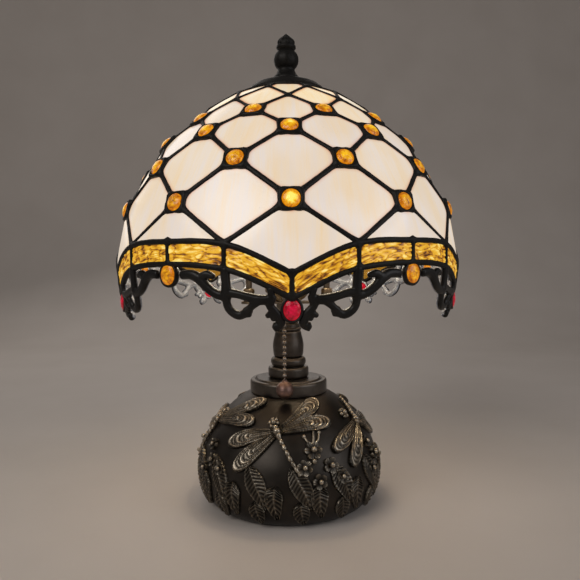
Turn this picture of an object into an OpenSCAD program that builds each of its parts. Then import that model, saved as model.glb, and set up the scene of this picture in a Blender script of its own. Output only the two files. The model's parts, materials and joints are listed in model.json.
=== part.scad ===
// Stained glass table lamp: a lattice dome with a cast filigree skirt, carried by
// a harp over a pull-chain socket, on a turned neck and a hollow cast base.
// Units are millimetres. The origin is the centre of the base's underside, +Z is up,
// and the lamp's front, with the pull chain and the lowest point of the skirt, is -Y.
// An azimuth is measured from -Y and grows towards +X.

/* [Shade] */
// Pieces of glass in each row of the lattice
row_count = 10; // [10:10:10]
// Radius of each row of lattice nodes, from the band up
row_r = [126.5, 119.5, 107, 90.5, 74, 60, 42]; // [30:0.5:130]
// Height of each row of lattice nodes, from the band up
row_z = [195, 221, 247, 268.5, 283, 295, 306]; // [150:0.5:315]
// Height of the centre that the dome's faces look away from
dome_z = 187; // [170:1:200]
// Radius of the band and of the skirt under it
band_r = 126.5; // [120:0.5:130]
// Height of the band's upper edge at a point, at a shoulder and at an arch
band_top = [178, 195, 197]; // [170:0.5:200]
// Height of the band's lower edge at a point, at a shoulder and at an arch
band_low = [163.5, 180.5, 183.5]; // [160:0.5:190]
// Thickness of the sheet glass
glass_t = 2.6; // [2:0.1:3.5]
// Width of a lead line
came_w = 3.4; // [2.5:0.1:4.5]
// Depth of a lead line
came_t = 4.2; // [3.5:0.1:5]
// Radius of an amber jewel
jewel_r = 5.6; // [4.5:0.1:6]
// Half width and half height of a ruby jewel
ruby_half = [5.1, 6.2]; // [4.5:0.1:6.5]

/* [Cap and finial] */
// Radius of the cap over the shade's opening
cap_r = 30; // [27:0.5:31]
// Height of the cap's rim
cap_low_z = 310; // [309:0.5:311]
// Height of the cap's top face, where the finial sits
cap_top_z = 321.5; // [320:0.5:323]
// Thickness of the cap's metal
cap_wall = 1.5; // [1:0.1:2]
// Height of the finial's tip
finial_tip_z = 356; // [350:1:360]

/* [Base and neck] */
// Height of the cast base's shoulder, under its lid
base_h = 84; // [80:1:88]
// Radius of the base where it is widest
belly_r = 69; // [64:0.5:74]
// Height at which the base is widest
belly_z = 30; // [26:1:34]
// Radius of the base's foot
foot_r = 55; // [50:0.5:58]
// Wall thickness of the cast base
base_wall = 4; // [3:0.5:5]
// Radius of the base's lid
lid_r = 29.6; // [29:0.1:31]
// Height of the lid's top face
lid_top_z = 93.5; // [92:0.5:94.5]
// Height of the neck's top face
neck_top_z = 136.4; // [134:0.1:138]
// Radius of the hole that the cord enters through
cord_hole_r = 3.3; // [3:0.1:3.6]

/* [Socket and harp] */
// Radius of the threaded centre pipe
pipe_r = 5; // [4.5:0.1:5]
// Radius of the socket's shell
socket_r = 17; // [16.8:0.1:18]
// Radius of the bulb's screw base
screw_r = 13; // [12.8:0.1:13]
// Height of the bulb's bottom contact
bulb_z = 174.1; // [173.6:0.1:174.4]
// Radius of the bulb's globe
globe_r = 30; // [25:1:31]
// Distance of each harp leg from the axis
leg_x = 30; // [28:0.5:32]
// Radius of the harp's wire
wire_r = 2.4; // [2:0.1:2.6]
// Running clearance of every turning or sliding fit
fit_gap = 0.08; // [0.03:0.01:0.1]

/* [Pull chain] */
// Distance of the pull chain in front of the axis
chain_y = 38.2; // [37:0.1:40]
// Azimuth of the pull chain
chain_az = -5.2; // [-8:0.1:8]
// Radius of a chain bead
bead_r = 1.6; // [1.2:0.1:1.8]
// Distance from bead to bead
bead_pitch = 4; // [3.6:0.1:4.4]
// Radius of the ball at the chain's end
fob_r = 6.4; // [5:0.1:7]

/* [Hidden] */
fine = 96;
medium = 48;
hex = 6;
step = 360 / row_count;
half_step = step / 2;
jewel_rows = [1, 2, 3, 4];
bezel_r = jewel_r + 1.5;
bezel_gap = 0.05;
notch_d = bezel_r + 0.5;
came_out = 0.9;
knot_r = 2.6;
rim_z = cap_low_z + 1.5;
drop_z = 177;
ruby_z = 156.8;
pipe_hole_r = pipe_r + 0.05;
nut_h = 4;
skin = 0.05;
base_low_curve = [[foot_r, 0], [belly_r - 5, 3], [belly_r + 1, belly_z - 16], [belly_r, belly_z]];
base_high_curve = [[belly_r, belly_z], [belly_r - 2, 55], [42, base_h - 4], [28, base_h]];
base_curve_steps = 14;
weight_r = 46;
weight_z = [2, 12];
inlet_z = 17;
inlet_y = 52;
saddle_z = 151.5;
saddle_t = 1.6;
socket_z = saddle_z + saddle_t;
shell_z = [163, 205];
leg_top_z = 189;
harp_top_z = 312;
bow_r = 110;
bow_x = 44;
bow_z = 243;
bow_low_a = -acos((bow_r - bow_x + leg_x) / bow_r);
bow_high_a = 25;
wire_sides = 10;
disc_top_z = cap_top_z - cap_wall - skin;
spout_z = 183;
bell_low_z = 174.5;
pivot_z = 170.4;
coupling_r = 1.8;
fob_z = 92;
first_bead_z = pivot_z - bead_pitch;
chain_low_z = fob_z + fob_r - 0.2;
chain_core_r = 0.5;
bulb_neck_z = 200;
bulb_wall = 0.9;
globe_z = 243;
globe_low_a = -58;
cage_r = 6;
cage_z = bulb_neck_z + 30;
stud_r = 3.25;
leaf_count = 14;
leaf_w = 11;
wing_w = 14;
stroke_w = 4.2;
neck_disc_z = 103;

// A point at radius r, azimuth a and height z
function on(r, a, z) = [r * sin(a), -r * cos(a), z];

// How far the outward normal of the dome leans up at radius r and height z
function lean(r, z) = atan2(z - dome_z, r);

// Radius of the skirt at height z, on the sphere that the dome belongs to
function skirt_r(z) = sqrt(pow(band_r, 2) - pow(min(z - dome_z, 0), 2));

// A point of a cubic curve through p[0] and p[3]
function cubic(p, t) = pow(1 - t, 3) * p[0] + 3 * pow(1 - t, 2) * t * p[1]
    + 3 * (1 - t) * pow(t, 2) * p[2] + pow(t, 3) * p[3];

// The base's outline from its foot up to its shoulder
base_outline = concat(
    [for (i = [0 : base_curve_steps]) cubic(base_low_curve, i / base_curve_steps)],
    [for (i = [1 : base_curve_steps]) cubic(base_high_curve, i / base_curve_steps)]);

// Radius of the base at height z
base_radii = [for (p = base_outline) [p[1], p[0]]];
function base_at(z) = lookup(z, base_radii);

// An arc of radius r round [x, z], as outline points
function arc(x, z, r, a0, a1, steps = 10) =
    [for (i = [0 : steps]) let (a = a0 + (a1 - a0) * i / steps) [x + r * cos(a), z + r * sin(a)]];

// Turns an outline of [radius, height] points about the lamp's axis
module turned(outline) {
    rotate_extrude($fn = fine) polygon(outline);
}

// A ring between two radii and two heights
module ring(r_in, r_out, z0, z1) {
    turned([[r_in, z0], [r_out, z0], [r_out, z1], [r_in, z1]]);
}

// Places a piece on the dome, with its own +Z along the outward normal
module on_dome(r, a, z, tilt) {
    rotate([0, 0, a]) translate([0, -r, z]) rotate([90 - tilt, 0, 0]) children();
}

// Azimuths of the nodes of row i: odd rows stand over the skirt's points
function row_az(i) = [for (k = [0 : row_count - 1]) k * step + (i % 2 == 0 ? half_step : 0)];

// ---- base and neck ----

module base_shell() {
    inner = [for (p = base_outline) [p[0] - base_wall, p[1]]];
    color("#4a3f36") difference() {
        union() {
            difference() {
                turned(concat(base_outline,
                    [[pipe_hole_r + 4, base_h], [pipe_hole_r + 4, base_h - base_wall]],
                    [for (i = [len(inner) - 1 : -1 : 0]) if (inner[i][1] < base_h - base_wall) inner[i]]));
                translate([0, 0, -1]) cylinder(h = 3, r = foot_r - base_wall + 0.5, $fn = fine);
            }
            intersection() {
                translate([0, inlet_y, inlet_z]) rotate([-90, 0, 0])
                    cylinder(h = 30, r = 8.5, $fn = medium);
                turned(concat(base_outline, [[0, base_h], [0, 0]]));
            }
        }
        translate([0, inlet_y - 5, inlet_z]) rotate([-90, 0, 0]) cylinder(h = 40, r = 5, $fn = medium);
    }
}

// A boss on the base's surface, flattened by thick, that faces out
module boss(a, z, r, thick = 0.6) {
    slope = atan2(base_at(z - 1) - base_at(z + 1), 2);
    translate(on(base_at(z), a, z)) rotate([0, 0, a]) rotate([90 - slope, 0, 0])
        scale([1, 1, thick]) sphere(r = r, $fn = hex);
}

// One wing, from its root at a, z out to its tip
module wing(a, z, tip_a, tip_z) {
    hull() {
        boss(a, z, 2.2, 1);
        boss(a + (tip_a - a) * 0.66, z + (tip_z - z) * 0.66, wing_w / 2, 0.36);
        boss(tip_a, tip_z, wing_w * 0.3, 0.45);
    }
}

// A dragonfly: thorax, end of the tail and the tips of its four wings
module dragonfly(thorax, tail, tips) {
    hull() {
        boss(thorax[0], thorax[1], 3.2, 1);
        boss(tail[0], tail[1], 1.8, 1);
    }
    for (t = tips) wing(thorax[0], thorax[1], t[0], t[1]);
}

module base_relief() {
    color("#8a7f6e") union() {
        dragonfly([-11, 66], [5, 40], [[33, 79], [31, 69], [-41, 55], [-32, 43]]);
        dragonfly([64, 66], [80, 78], [[31, 54], [42, 44], [92, 48], [104, 57]]);
        dragonfly([136, 64], [140, 38], [[168, 74], [166, 60], [104, 72], [108, 60]]);
        dragonfly([208, 66], [196, 40], [[238, 72], [236, 60], [176, 52], [184, 42]]);
        dragonfly([284, 64], [278, 38], [[316, 77], [322, 69], [254, 66], [256, 54]]);
        for (k = [0 : leaf_count - 1]) let (a = (k + 0.5) * 360 / leaf_count) hull() {
            boss(a - 11, 42, 2.6, 0.8);
            boss(a - 5, 30, leaf_w / 2, 0.5);
            boss(a, 18, 2.6, 0.8);
        }
        for (cluster = [16, 60, 130, 190, 250, 300], k = [0 : 4])
            boss(cluster + 8 * cos(72 * k), 45 + 6.5 * sin(72 * k), 4.8, 0.55);
    }
}

module base_weight() {
    color("#55504b") ring(pipe_hole_r, weight_r, weight_z[0], weight_z[1]);
}

module felt_pad() {
    color("#1f3a2a") ring(8, foot_r - base_wall, 0, weight_z[0] - skin);
}

module cord_grommet() {
    outer_y = base_at(inlet_z);
    color("#151515") translate([0, 0, inlet_z]) rotate([-90, 0, 0]) difference() {
        union() {
            translate([0, 0, inlet_y - 2]) cylinder(h = outer_y - inlet_y + 4, r = 5 - skin, $fn = medium);
            translate([0, 0, inlet_y - 3]) cylinder(h = 3 - skin, r = 7, $fn = medium);
            translate([0, 0, outer_y + skin]) cylinder(h = 2, r = 7, $fn = medium);
        }
        translate([0, 0, inlet_y - 5]) cylinder(h = 40, r = cord_hole_r, $fn = medium);
    }
}

module base_lid() {
    color("#5a4f44") turned([
        [pipe_hole_r, base_h + skin], [lid_r, base_h + skin], [lid_r, lid_top_z - 1.5],
        [lid_r - 1, lid_top_z], [lid_r - 4.4, lid_top_z], [lid_r - 5, lid_top_z + 1],
        [pipe_hole_r, lid_top_z + 1]]);
}

module neck_foot() {
    color("#5f554a") turned(concat(
        [[pipe_hole_r, lid_top_z + 1 + skin], [14.6, lid_top_z + 1 + skin], [15.6, lid_top_z + 2.5],
         [15.6, neck_disc_z - 1], [15, neck_disc_z]],
        arc(10, neck_disc_z + 3.9, 3.6, -80, 80), [[pipe_hole_r, neck_disc_z + 7.6]]));
}

module neck_barrel() {
    color("#5f554a") turned([
        [pipe_hole_r, 110.7], [11.2, 110.7], [11.7, 114], [12, 119], [11.4, 123.5],
        [10.3, 127.5], [9.9, 130.8], [pipe_hole_r, 130.8]]);
}

module neck_collar() {
    color("#5f554a") turned([
        [pipe_hole_r, 130.9], [10, 130.9], [10.2, 132.6], [9.1, 133.2],
        [9.1, 135.6], [8.4, neck_top_z], [pipe_hole_r, neck_top_z]]);
}

module neck_riser() {
    top = saddle_z - nut_h - 2 * skin;
    color("#b08d4a") turned([
        [pipe_hole_r, neck_top_z + skin], [7.6, neck_top_z + skin], [7.6, neck_top_z + 2],
        [6.6, neck_top_z + 3], [6.6, top - 2], [7.6, top - 1], [7.6, top], [pipe_hole_r, top]]);
}

module centre_pipe() {
    color("#b9a36a") ring(3.6, pipe_r, weight_z[0] + 2, socket_z + 6);
}

// A hexagonal nut on the centre pipe
module pipe_nut(z, h) {
    translate([0, 0, z]) difference() {
        cylinder(h = h, r = 9, $fn = hex);
        translate([0, 0, -1]) cylinder(h = h + 2, r = pipe_r + 0.05, $fn = medium);
    }
}

module pipe_nuts() {
    color("#c2ad72") {
        pipe_nut(weight_z[1] + 1.6, nut_h);
        pipe_nut(saddle_z - nut_h - skin, nut_h);
    }
}

module pipe_washer() {
    color("#a9a9a9") ring(pipe_hole_r, 13, weight_z[1] + skin, weight_z[1] + 1.5);
}

// ---- harp ----

module harp_saddle() {
    color("#b08d4a") difference() {
        union() {
            translate([-leg_x, -6, saddle_z]) cube([2 * leg_x, 12, saddle_t]);
            for (s = [-1, 1]) translate([s * leg_x, 0, saddle_z]) {
                cylinder(h = saddle_t, r = 6, $fn = medium);
                cylinder(h = 6.5, r = wire_r + 0.9, $fn = medium);
            }
        }
        translate([0, 0, saddle_z - 1]) cylinder(h = 4, r = pipe_hole_r, $fn = medium);
        for (s = [-1, 1]) translate([s * leg_x, 0, saddle_z + saddle_t + skin])
            cylinder(h = 10, r = wire_r + skin, $fn = medium);
    }
}

module harp_legs() {
    color("#b08d4a") for (s = [-1, 1]) translate([s * leg_x, 0, saddle_z + saddle_t + 0.2])
        cylinder(h = leg_top_z - saddle_z - saddle_t, r = wire_r, $fn = medium);
}

// The right half of the bow, from the leg's top to the middle of the crown
bow_half = concat(
    [[leg_x, leg_top_z - 1.5]],
    [for (i = [0 : 10]) let (a = bow_low_a + (bow_high_a - bow_low_a) * i / 10)
        [bow_x - bow_r + bow_r * cos(a), bow_z + bow_r * sin(a)]],
    [for (i = [1 : 6]) let (t = i / 6) cubic([
        [bow_x - bow_r + bow_r * cos(bow_high_a), bow_z + bow_r * sin(bow_high_a)],
        [26, 297], [14, harp_top_z], [0, harp_top_z]], t)]);
bow = concat(bow_half, [for (i = [len(bow_half) - 2 : -1 : 0]) [-bow_half[i][0], bow_half[i][1]]]);

// Direction of the bow at its point i
function bow_dir(i) = let (d = bow[min(i + 1, len(bow) - 1)] - bow[max(i - 1, 0)]) d / norm(d);

module harp_wire() {
    count = len(bow);
    rings = [for (i = [0 : count - 1], k = [0 : wire_sides - 1])
        let (d = bow_dir(i), a = 360 * k / wire_sides)
        [bow[i][0] - d[1] * wire_r * cos(a), wire_r * sin(a), bow[i][1] + d[0] * wire_r * cos(a)]];
    walls = [for (i = [0 : count - 2], k = [0 : wire_sides - 1])
        let (n = (k + 1) % wire_sides, b = i * wire_sides)
        each [[b + k, b + n, b + wire_sides + n], [b + k, b + wire_sides + n, b + wire_sides + k]]];
    low_end = [for (k = [wire_sides - 1 : -1 : 0]) k];
    far_end = [for (k = [0 : wire_sides - 1]) (count - 1) * wire_sides + k];
    color("#b08d4a") polyhedron(points = rings, faces = concat(walls, [low_end, far_end]));
}

module harp_stud() {
    color("#c9ab5c") turned([
        [0, harp_top_z + 0.5], [5, harp_top_z + 0.5], [5, disc_top_z - 2.2], [9, disc_top_z - 2.2],
        [9, disc_top_z], [stud_r - fit_gap, disc_top_z], [stud_r - fit_gap, 333], [2.4, 334],
        [0, 334]]);
}

// A locking ferrule over the joint of one harp leg and the saddle
module ferrule(side) {
    z0 = saddle_z + saddle_t + skin;
    translate([side * leg_x, 0, 0]) turned([
        [wire_r + 0.98, z0], [wire_r + 1.9, z0], [wire_r + 1.9, z0 + 9], [wire_r + 1.2, z0 + 10],
        [wire_r + fit_gap, z0 + 10], [wire_r + fit_gap, z0 + 8.6], [wire_r + 0.98, z0 + 8.6]]);
}

module harp_ferrule_left() {
    color("#c9ab5c") ferrule(-1);
}

module harp_ferrule_right() {
    color("#c9ab5c") ferrule(1);
}

// ---- socket, switch and bulb ----

module socket_cap() {
    color("#b8964e") turned([
        [pipe_hole_r, socket_z + skin], [9, socket_z + skin], [13, socket_z + 2.5],
        [socket_r + 0.6, shell_z[0] - 2], [socket_r + 0.6, shell_z[0] + 2],
        [socket_r - 0.2, shell_z[0] + 2], [socket_r - 0.2, shell_z[0] - 1.4],
        [12.4, socket_z + 4], [8.6, socket_z + 2], [pipe_hole_r, socket_z + 2]]);
}

module socket_shell() {
    color("#b8964e") difference() {
        ring(socket_r - 0.8, socket_r - 0.25, shell_z[0] - 1, shell_z[1]);
        rotate([0, 0, chain_az]) translate([0, -10, spout_z]) rotate([90, 0, 0])
            cylinder(h = 12, r = 3.3, $fn = medium);
    }
}

module socket_liner() {
    color("#2b2622") difference() {
        ring(socket_r - 1.7, socket_r - 0.85, shell_z[0] + 8.2, shell_z[1] - 1);
        rotate([0, 0, chain_az]) translate([0, -10, spout_z]) rotate([90, 0, 0])
            cylinder(h = 12, r = 3.3, $fn = medium);
    }
}

module socket_core() {
    color("#e7e2d6") ring(4.2, socket_r - 0.9, shell_z[0] - 0.5, shell_z[0] + 8);
}

module screw_shell() {
    color("#c9a55a") ring(screw_r + fit_gap, screw_r + 0.7, shell_z[0] + 8.1, shell_z[1] - 2);
}

module centre_contact() {
    color("#c9a55a") turned([
        [0, shell_z[0] + 6], [4, shell_z[0] + 6], [4, bulb_z - 1.2], [2.4, bulb_z - 0.1],
        [0, bulb_z - 0.1]]);
}

module switch_spout() {
    color("#b8964e") rotate([0, 0, chain_az]) difference() {
        union() {
            translate([0, -socket_r + 2.2, spout_z]) rotate([90, 0, 0])
                cylinder(h = chain_y - socket_r + 0.5, r = 3, $fn = medium);
            translate([0, -socket_r + 0.2, spout_z]) rotate([90, 0, 0])
                cylinder(h = 2.4, r = 4.6, $fn = medium);
            translate([0, -chain_y, 0]) turned([
                [0, bell_low_z], [4.8, bell_low_z], [4.2, bell_low_z + 2.5], [3.9, spout_z + 1],
                [2.8, spout_z + 3.2], [0, spout_z + 4]]);
        }
        translate([0, -chain_y, bell_low_z - 1])
            cylinder(h = spout_z - bell_low_z + 2, r = 2.5, $fn = medium);
        translate([0, -socket_r + 3, spout_z]) rotate([90, 0, 0])
            cylinder(h = chain_y - socket_r - 3, r = 1.6, $fn = medium);
    }
}

// Places a piece on the line that the pull chain hangs along
module on_chain() {
    translate(on(chain_y, chain_az, 0)) children();
}

module pull_link() {
    top = pivot_z + coupling_r + skin;
    color("#8d6f4a") on_chain() rotate_extrude($fn = medium) polygon(concat(
        [[0, top], [1, top], [1, spout_z - 3.6]], arc(0, spout_z - 2, 2, -50, 90, 8)));
}

module chain_coupling() {
    color("#8d6f4a") on_chain() translate([0, 0, pivot_z]) sphere(r = coupling_r, $fn = medium);
}

module pull_chain() {
    room = first_bead_z - (fob_z + fob_r + 1 + bead_r + skin);
    beads = floor(room / bead_pitch);
    color("#8d6f4a") on_chain() union() {
        translate([0, 0, chain_low_z])
            cylinder(h = pivot_z - coupling_r - skin - chain_low_z, r = chain_core_r, $fn = 24);
        for (i = [0 : beads]) translate([0, 0, first_bead_z - i * bead_pitch])
            sphere(r = bead_r, $fn = 24);
    }
}

module chain_ball() {
    color("#6b4a3a") on_chain() difference() {
        union() {
            translate([0, 0, fob_z]) sphere(r = fob_r, $fn = medium);
            translate([0, 0, fob_z + fob_r - 1]) cylinder(h = 2, r = 1.8, $fn = medium);
        }
        translate([0, 0, chain_low_z - skin]) cylinder(h = 5, r = chain_core_r + skin, $fn = 24);
    }
}

module bulb_glass() {
    outside = concat([[12.4, bulb_neck_z], [13.4, 210]], arc(0, globe_z, globe_r, globe_low_a, 90, 20));
    inside = concat(arc(0, globe_z, globe_r - bulb_wall, 90, globe_low_a, 20),
        [[12.5, 210], [11.5, bulb_neck_z]]);
    color("#fff3d0") turned(concat(outside, inside));
}

module bulb_base() {
    color("#c8c4bc") turned([
        [0, bulb_z], [3, bulb_z], [4.4, bulb_z + 1.2], [8.6, bulb_z + 3.4], [screw_r - 1, bulb_z + 4.4],
        [screw_r, bulb_z + 6], [screw_r, bulb_neck_z - 1.6], [12.6, bulb_neck_z - skin],
        [0, bulb_neck_z - skin]]);
}

module bulb_stem() {
    color("#ffd98a") union() {
        translate([0, 0, bulb_neck_z]) cylinder(h = 22, r1 = 7, r2 = 2.4, $fn = medium);
        translate([0, 0, bulb_neck_z + 21]) cylinder(h = 30, r = 1.6, $fn = 24);
        for (a = [0 : 90 : 270]) rotate([0, 0, a]) translate([cage_r, 0, cage_z])
            cylinder(h = 26, r = 1.2, $fn = 24);
        for (z = [cage_z + 0.5, cage_z + 19]) translate([0, 0, z])
            cylinder(h = 1.2, r = cage_r + 1.4, $fn = medium);
    }
}

// ---- shade ----

module shade_cap() {
    color("#1d1a18") turned([
        [stud_r, cap_top_z - cap_wall], [9.6, cap_top_z - cap_wall], [16, cap_top_z - cap_wall - 1.6],
        [23, cap_top_z - cap_wall - 4.2], [cap_r - 2.2, rim_z], [cap_r - 2.2, cap_low_z],
        [cap_r, cap_low_z], [cap_r, rim_z + 1], [24, cap_top_z - 4.2], [16, cap_top_z - 1.4],
        [10, cap_top_z], [stud_r, cap_top_z]]);
}

module finial() {
    low = cap_top_z + skin;
    color("#15120f") difference() {
        turned(concat(
            [[0, low], [10, low], [10, low + 1.6], [7, low + 3.4], [5.6, low + 6], [5.8, low + 8]],
            arc(0, 335.6, 9, -48, 48), [[5.6, 342], [6.9, 344.6], [6.9, 346.4], [5.9, 347.2]],
            [for (t = [0.2 : 0.2 : 1])
                cubic([[5.9, 347.2], [7, 350.5], [3.6, 353], [0, finial_tip_z]], t)]));
        translate([0, 0, low - 1]) cylinder(h = 16, r = stud_r, $fn = medium);
    }
}

// A lattice node of row i, j steps of half a piece round from azimuth a
function grid(i, a) = on(row_r[i], a, row_z[i]);

// A corner of a glass piece, cut back round the jewel that sits on it
function corner(p, before, after, middle, cut) = cut == 0 ? [p] : [
    p + cut * (before - p) / norm(before - p),
    p + cut * (middle - p) / norm(middle - p),
    p + cut * (after - p) / norm(after - p)];

// A piece of glass inside an outline that runs low, right, high, left, folded slightly
// along the line from its corner low_i to its corner high_i, with corners cut by cuts.
module pane(outline, cuts, low_i, high_i) {
    margin = 0.94;
    size = len(outline);
    heart = (outline[low_i] + outline[high_i]) / 2;
    c = [for (p = outline) heart + margin * (p - heart)];
    corners = [for (k = [0 : size - 1])
        corner(c[k], c[(k + size - 1) % size], c[(k + 1) % size], heart, cuts[k])];
    loop = [for (part = corners, p = part) p];
    count = len(loop);
    n = cross(c[1] - c[size - 1], c[high_i] - c[low_i]);
    in_step = -glass_t * n / norm(n);
    points = concat(loop, [heart], [for (p = loop) p + in_step], [heart + in_step]);
    faces = [for (i = [0 : count - 1]) let (j = (i + 1) % count) each [
        [count, j, i], [2 * count + 1, count + 1 + i, count + 1 + j],
        [i, j, count + 1 + j], [i, count + 1 + j, count + 1 + i]]];
    polyhedron(points = points, faces = faces);
}

// A four-sided piece of glass
module glass(low, right, high, left, cuts) {
    pane([low, right, high, left], cuts, 0, 2);
}

// One row of folded pieces between lattice rows i, i + 1 and i + 2
module glass_row(i) {
    cut = [for (k = [i : i + 2]) k >= 1 && k <= 4 ? notch_d : 0];
    for (a = row_az(i)) glass(grid(i, a), grid(i + 1, a + half_step), grid(i + 2, a),
        grid(i + 1, a - half_step), [cut[0], cut[1], cut[2], cut[1]]);
}

// A piece of glass that stands on the band, with its lowest corner at azimuth a, height z
module bottom_glass(a, z) {
    glass(on(band_r, a, z), grid(0, a + half_step), grid(1, a), grid(0, a - half_step),
        [0, 0, notch_d, 0]);
}

module point_glass() {
    color("#f3dfc8") for (a = [0 : 2 * step : 359]) bottom_glass(a, band_top[0]);
}

module arch_glass() {
    color("#f3dfc8") for (a = [step : 2 * step : 359]) bottom_glass(a, band_top[2]);
}

module glass_row_1() {
    color("#f2dcc4") glass_row(0);
}

module glass_row_2() {
    color("#f3dcc0") glass_row(1);
}

module glass_row_3() {
    color("#f4dcba") glass_row(2);
}

module glass_row_4() {
    color("#f5dbb2") glass_row(3);
}

module glass_row_5() {
    color("#f5d9aa") glass_row(4);
}

module crown_glass() {
    edge_r = cap_r - 2.6;
    color("#f6d8a2") for (a = row_az(5)) pane([
        grid(5, a), grid(6, a + half_step), on(edge_r, a + half_step, rim_z - 0.6),
        on(edge_r, a, rim_z), on(edge_r, a - half_step, rim_z - 0.6), grid(6, a - half_step)],
        [0, 0, 0, 0, 0, 0], 0, 3);
}

// Heights of the band's edge at the point, shoulder and arch, repeated round the shade
function band_edge(edge, k) = edge[k % 4 == 3 ? 1 : k % 4];

// A flat sheet of glass between four corners, with its faces along the outward normal
module sheet(p, thickness) {
    n = cross(p[1] - p[0], p[3] - p[0]);
    in_step = -thickness * n / norm(n);
    polyhedron(points = concat(p, [for (q = p) q + in_step]), faces = [
        [2, 1, 0], [3, 2, 0], [4, 5, 6], [4, 6, 7], [0, 1, 5], [0, 5, 4],
        [1, 2, 6], [1, 6, 5], [2, 3, 7], [2, 7, 6], [3, 0, 4], [3, 4, 7]]);
}

module band_glass() {
    edge_gap = 1;
    side_gap = 0.45;
    color("#d9a429") for (k = [0 : 2 * row_count - 1]) {
        a0 = k * half_step + side_gap;
        a1 = (k + 1) * half_step - side_gap;
        sheet([
            on(skirt_r(band_edge(band_low, k)), a0, band_edge(band_low, k) + edge_gap),
            on(skirt_r(band_edge(band_low, k + 1)), a1, band_edge(band_low, k + 1) + edge_gap),
            on(band_r, a1, band_edge(band_top, k + 1) - edge_gap),
            on(band_r, a0, band_edge(band_top, k) - edge_gap)], glass_t);
    }
}

// A domed round jewel with its back on the local plane z = -2.4
module cabochon() {
    rotate_extrude($fn = 32) polygon(concat(
        [[0, -2.4], [jewel_r - bezel_gap, -2.4], [jewel_r - bezel_gap, 0.2]],
        arc(0, -4.4, 7.2, 40, 90, 5)));
}

// A cast ring round a jewel
module bezel() {
    rotate_extrude($fn = 32) polygon([
        [jewel_r, -3], [bezel_r, -3], [bezel_r, 0.4], [jewel_r + 0.8, 1.4], [jewel_r, 1.1]]);
}

module amber_jewels() {
    color("#d98c1f") for (i = jewel_rows, a = row_az(i))
        on_dome(row_r[i], a, row_z[i], lean(row_r[i], row_z[i])) cabochon();
}

module jewel_bezels() {
    color("#1c1917") for (i = jewel_rows, a = row_az(i))
        on_dome(row_r[i], a, row_z[i], lean(row_r[i], row_z[i])) bezel();
}

module drop_jewels() {
    color("#e09a22") for (a = [step : 2 * step : 359]) on_dome(skirt_r(drop_z), a, drop_z, 0) cabochon();
}

module drop_bezels() {
    color("#1c1917") for (a = [step : 2 * step : 359]) on_dome(skirt_r(drop_z), a, drop_z, 0) bezel();
}

// An oval outline
module oval(half, grow) {
    polygon([for (t = [0 : 15 : 345]) [(half[0] + grow) * cos(t), (half[1] + grow) * sin(t)]]);
}

module ruby_jewels() {
    color("#b3123f") for (a = [0 : 2 * step : 359]) on_dome(skirt_r(ruby_z), a, ruby_z, 0) union() {
        translate([0, 0, -2.4]) linear_extrude(height = 3.4) oval(ruby_half, -bezel_gap);
        translate([0, 0, 0.9]) linear_extrude(height = 1.3) oval(ruby_half, -1.6);
    }
}

module ruby_bezels() {
    color("#1c1917") for (a = [0 : 2 * step : 359]) on_dome(skirt_r(ruby_z), a, ruby_z, 0)
        translate([0, 0, -3]) linear_extrude(height = 4) difference() {
            oval(ruby_half, 1.4);
            oval(ruby_half, 0);
        }
}

// A straight lead line from p to q, cut short by trim at each end. n is the outward normal.
module lead_bar(p, q, n, trim = [0, 0], w = came_w) {
    d = (q - p) / norm(q - p);
    side = cross(n, d) / norm(cross(n, d)) * w / 2;
    up = cross(d, side) / norm(side);
    from = p + d * trim[0];
    to = q - d * trim[1];
    section = [for (s = [[-1, 1], [1, 1], [1, 0], [-1, 0]])
        s[0] * side + up * (came_out - (1 - s[1]) * came_t)];
    polyhedron(points = concat([for (v = section) from + v], [for (v = section) to + v]), faces = [
        [2, 1, 0], [3, 2, 0], [5, 6, 4], [6, 7, 4], [1, 5, 0], [5, 4, 0],
        [2, 6, 1], [6, 5, 1], [3, 7, 2], [7, 6, 2], [0, 4, 3], [4, 7, 3]]);
}

// The outward normal of the dome at azimuth a, at radius r and height z
function outward(r, a, z) = let (t = lean(r, z)) [sin(a) * cos(t), -cos(a) * cos(t), sin(t)];

// How far a lead line stops short of the middle of a node of row i
function node_trim(i) = i >= 1 && i <= 4 ? bezel_r + skin : i == 0 ? came_w * 0.9 : knot_r + skin;

module lattice_lead() {
    color("#1a1715") {
        for (i = [0 : 5], a = row_az(i), side = [-1, 1]) {
            b = a + side * half_step;
            p = grid(i, a);
            q = grid(i + 1, b);
            middle = (p + q) / 2;
            lead_bar(p, q, outward(norm([middle[0], middle[1]]), (a + b) / 2, middle[2]),
                [node_trim(i), node_trim(i + 1)]);
        }
        for (a = row_az(6)) lead_bar(grid(6, a), on(cap_r + 0.6, a, rim_z - 0.3), outward(36, a, 309),
            [knot_r + skin, 0]);
        for (i = [5, 6], a = row_az(i)) on_dome(row_r[i], a, row_z[i], lean(row_r[i], row_z[i]))
            translate([0, 0, came_out - came_t]) cylinder(h = came_t, r = knot_r, $fn = 24);
    }
}

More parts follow.
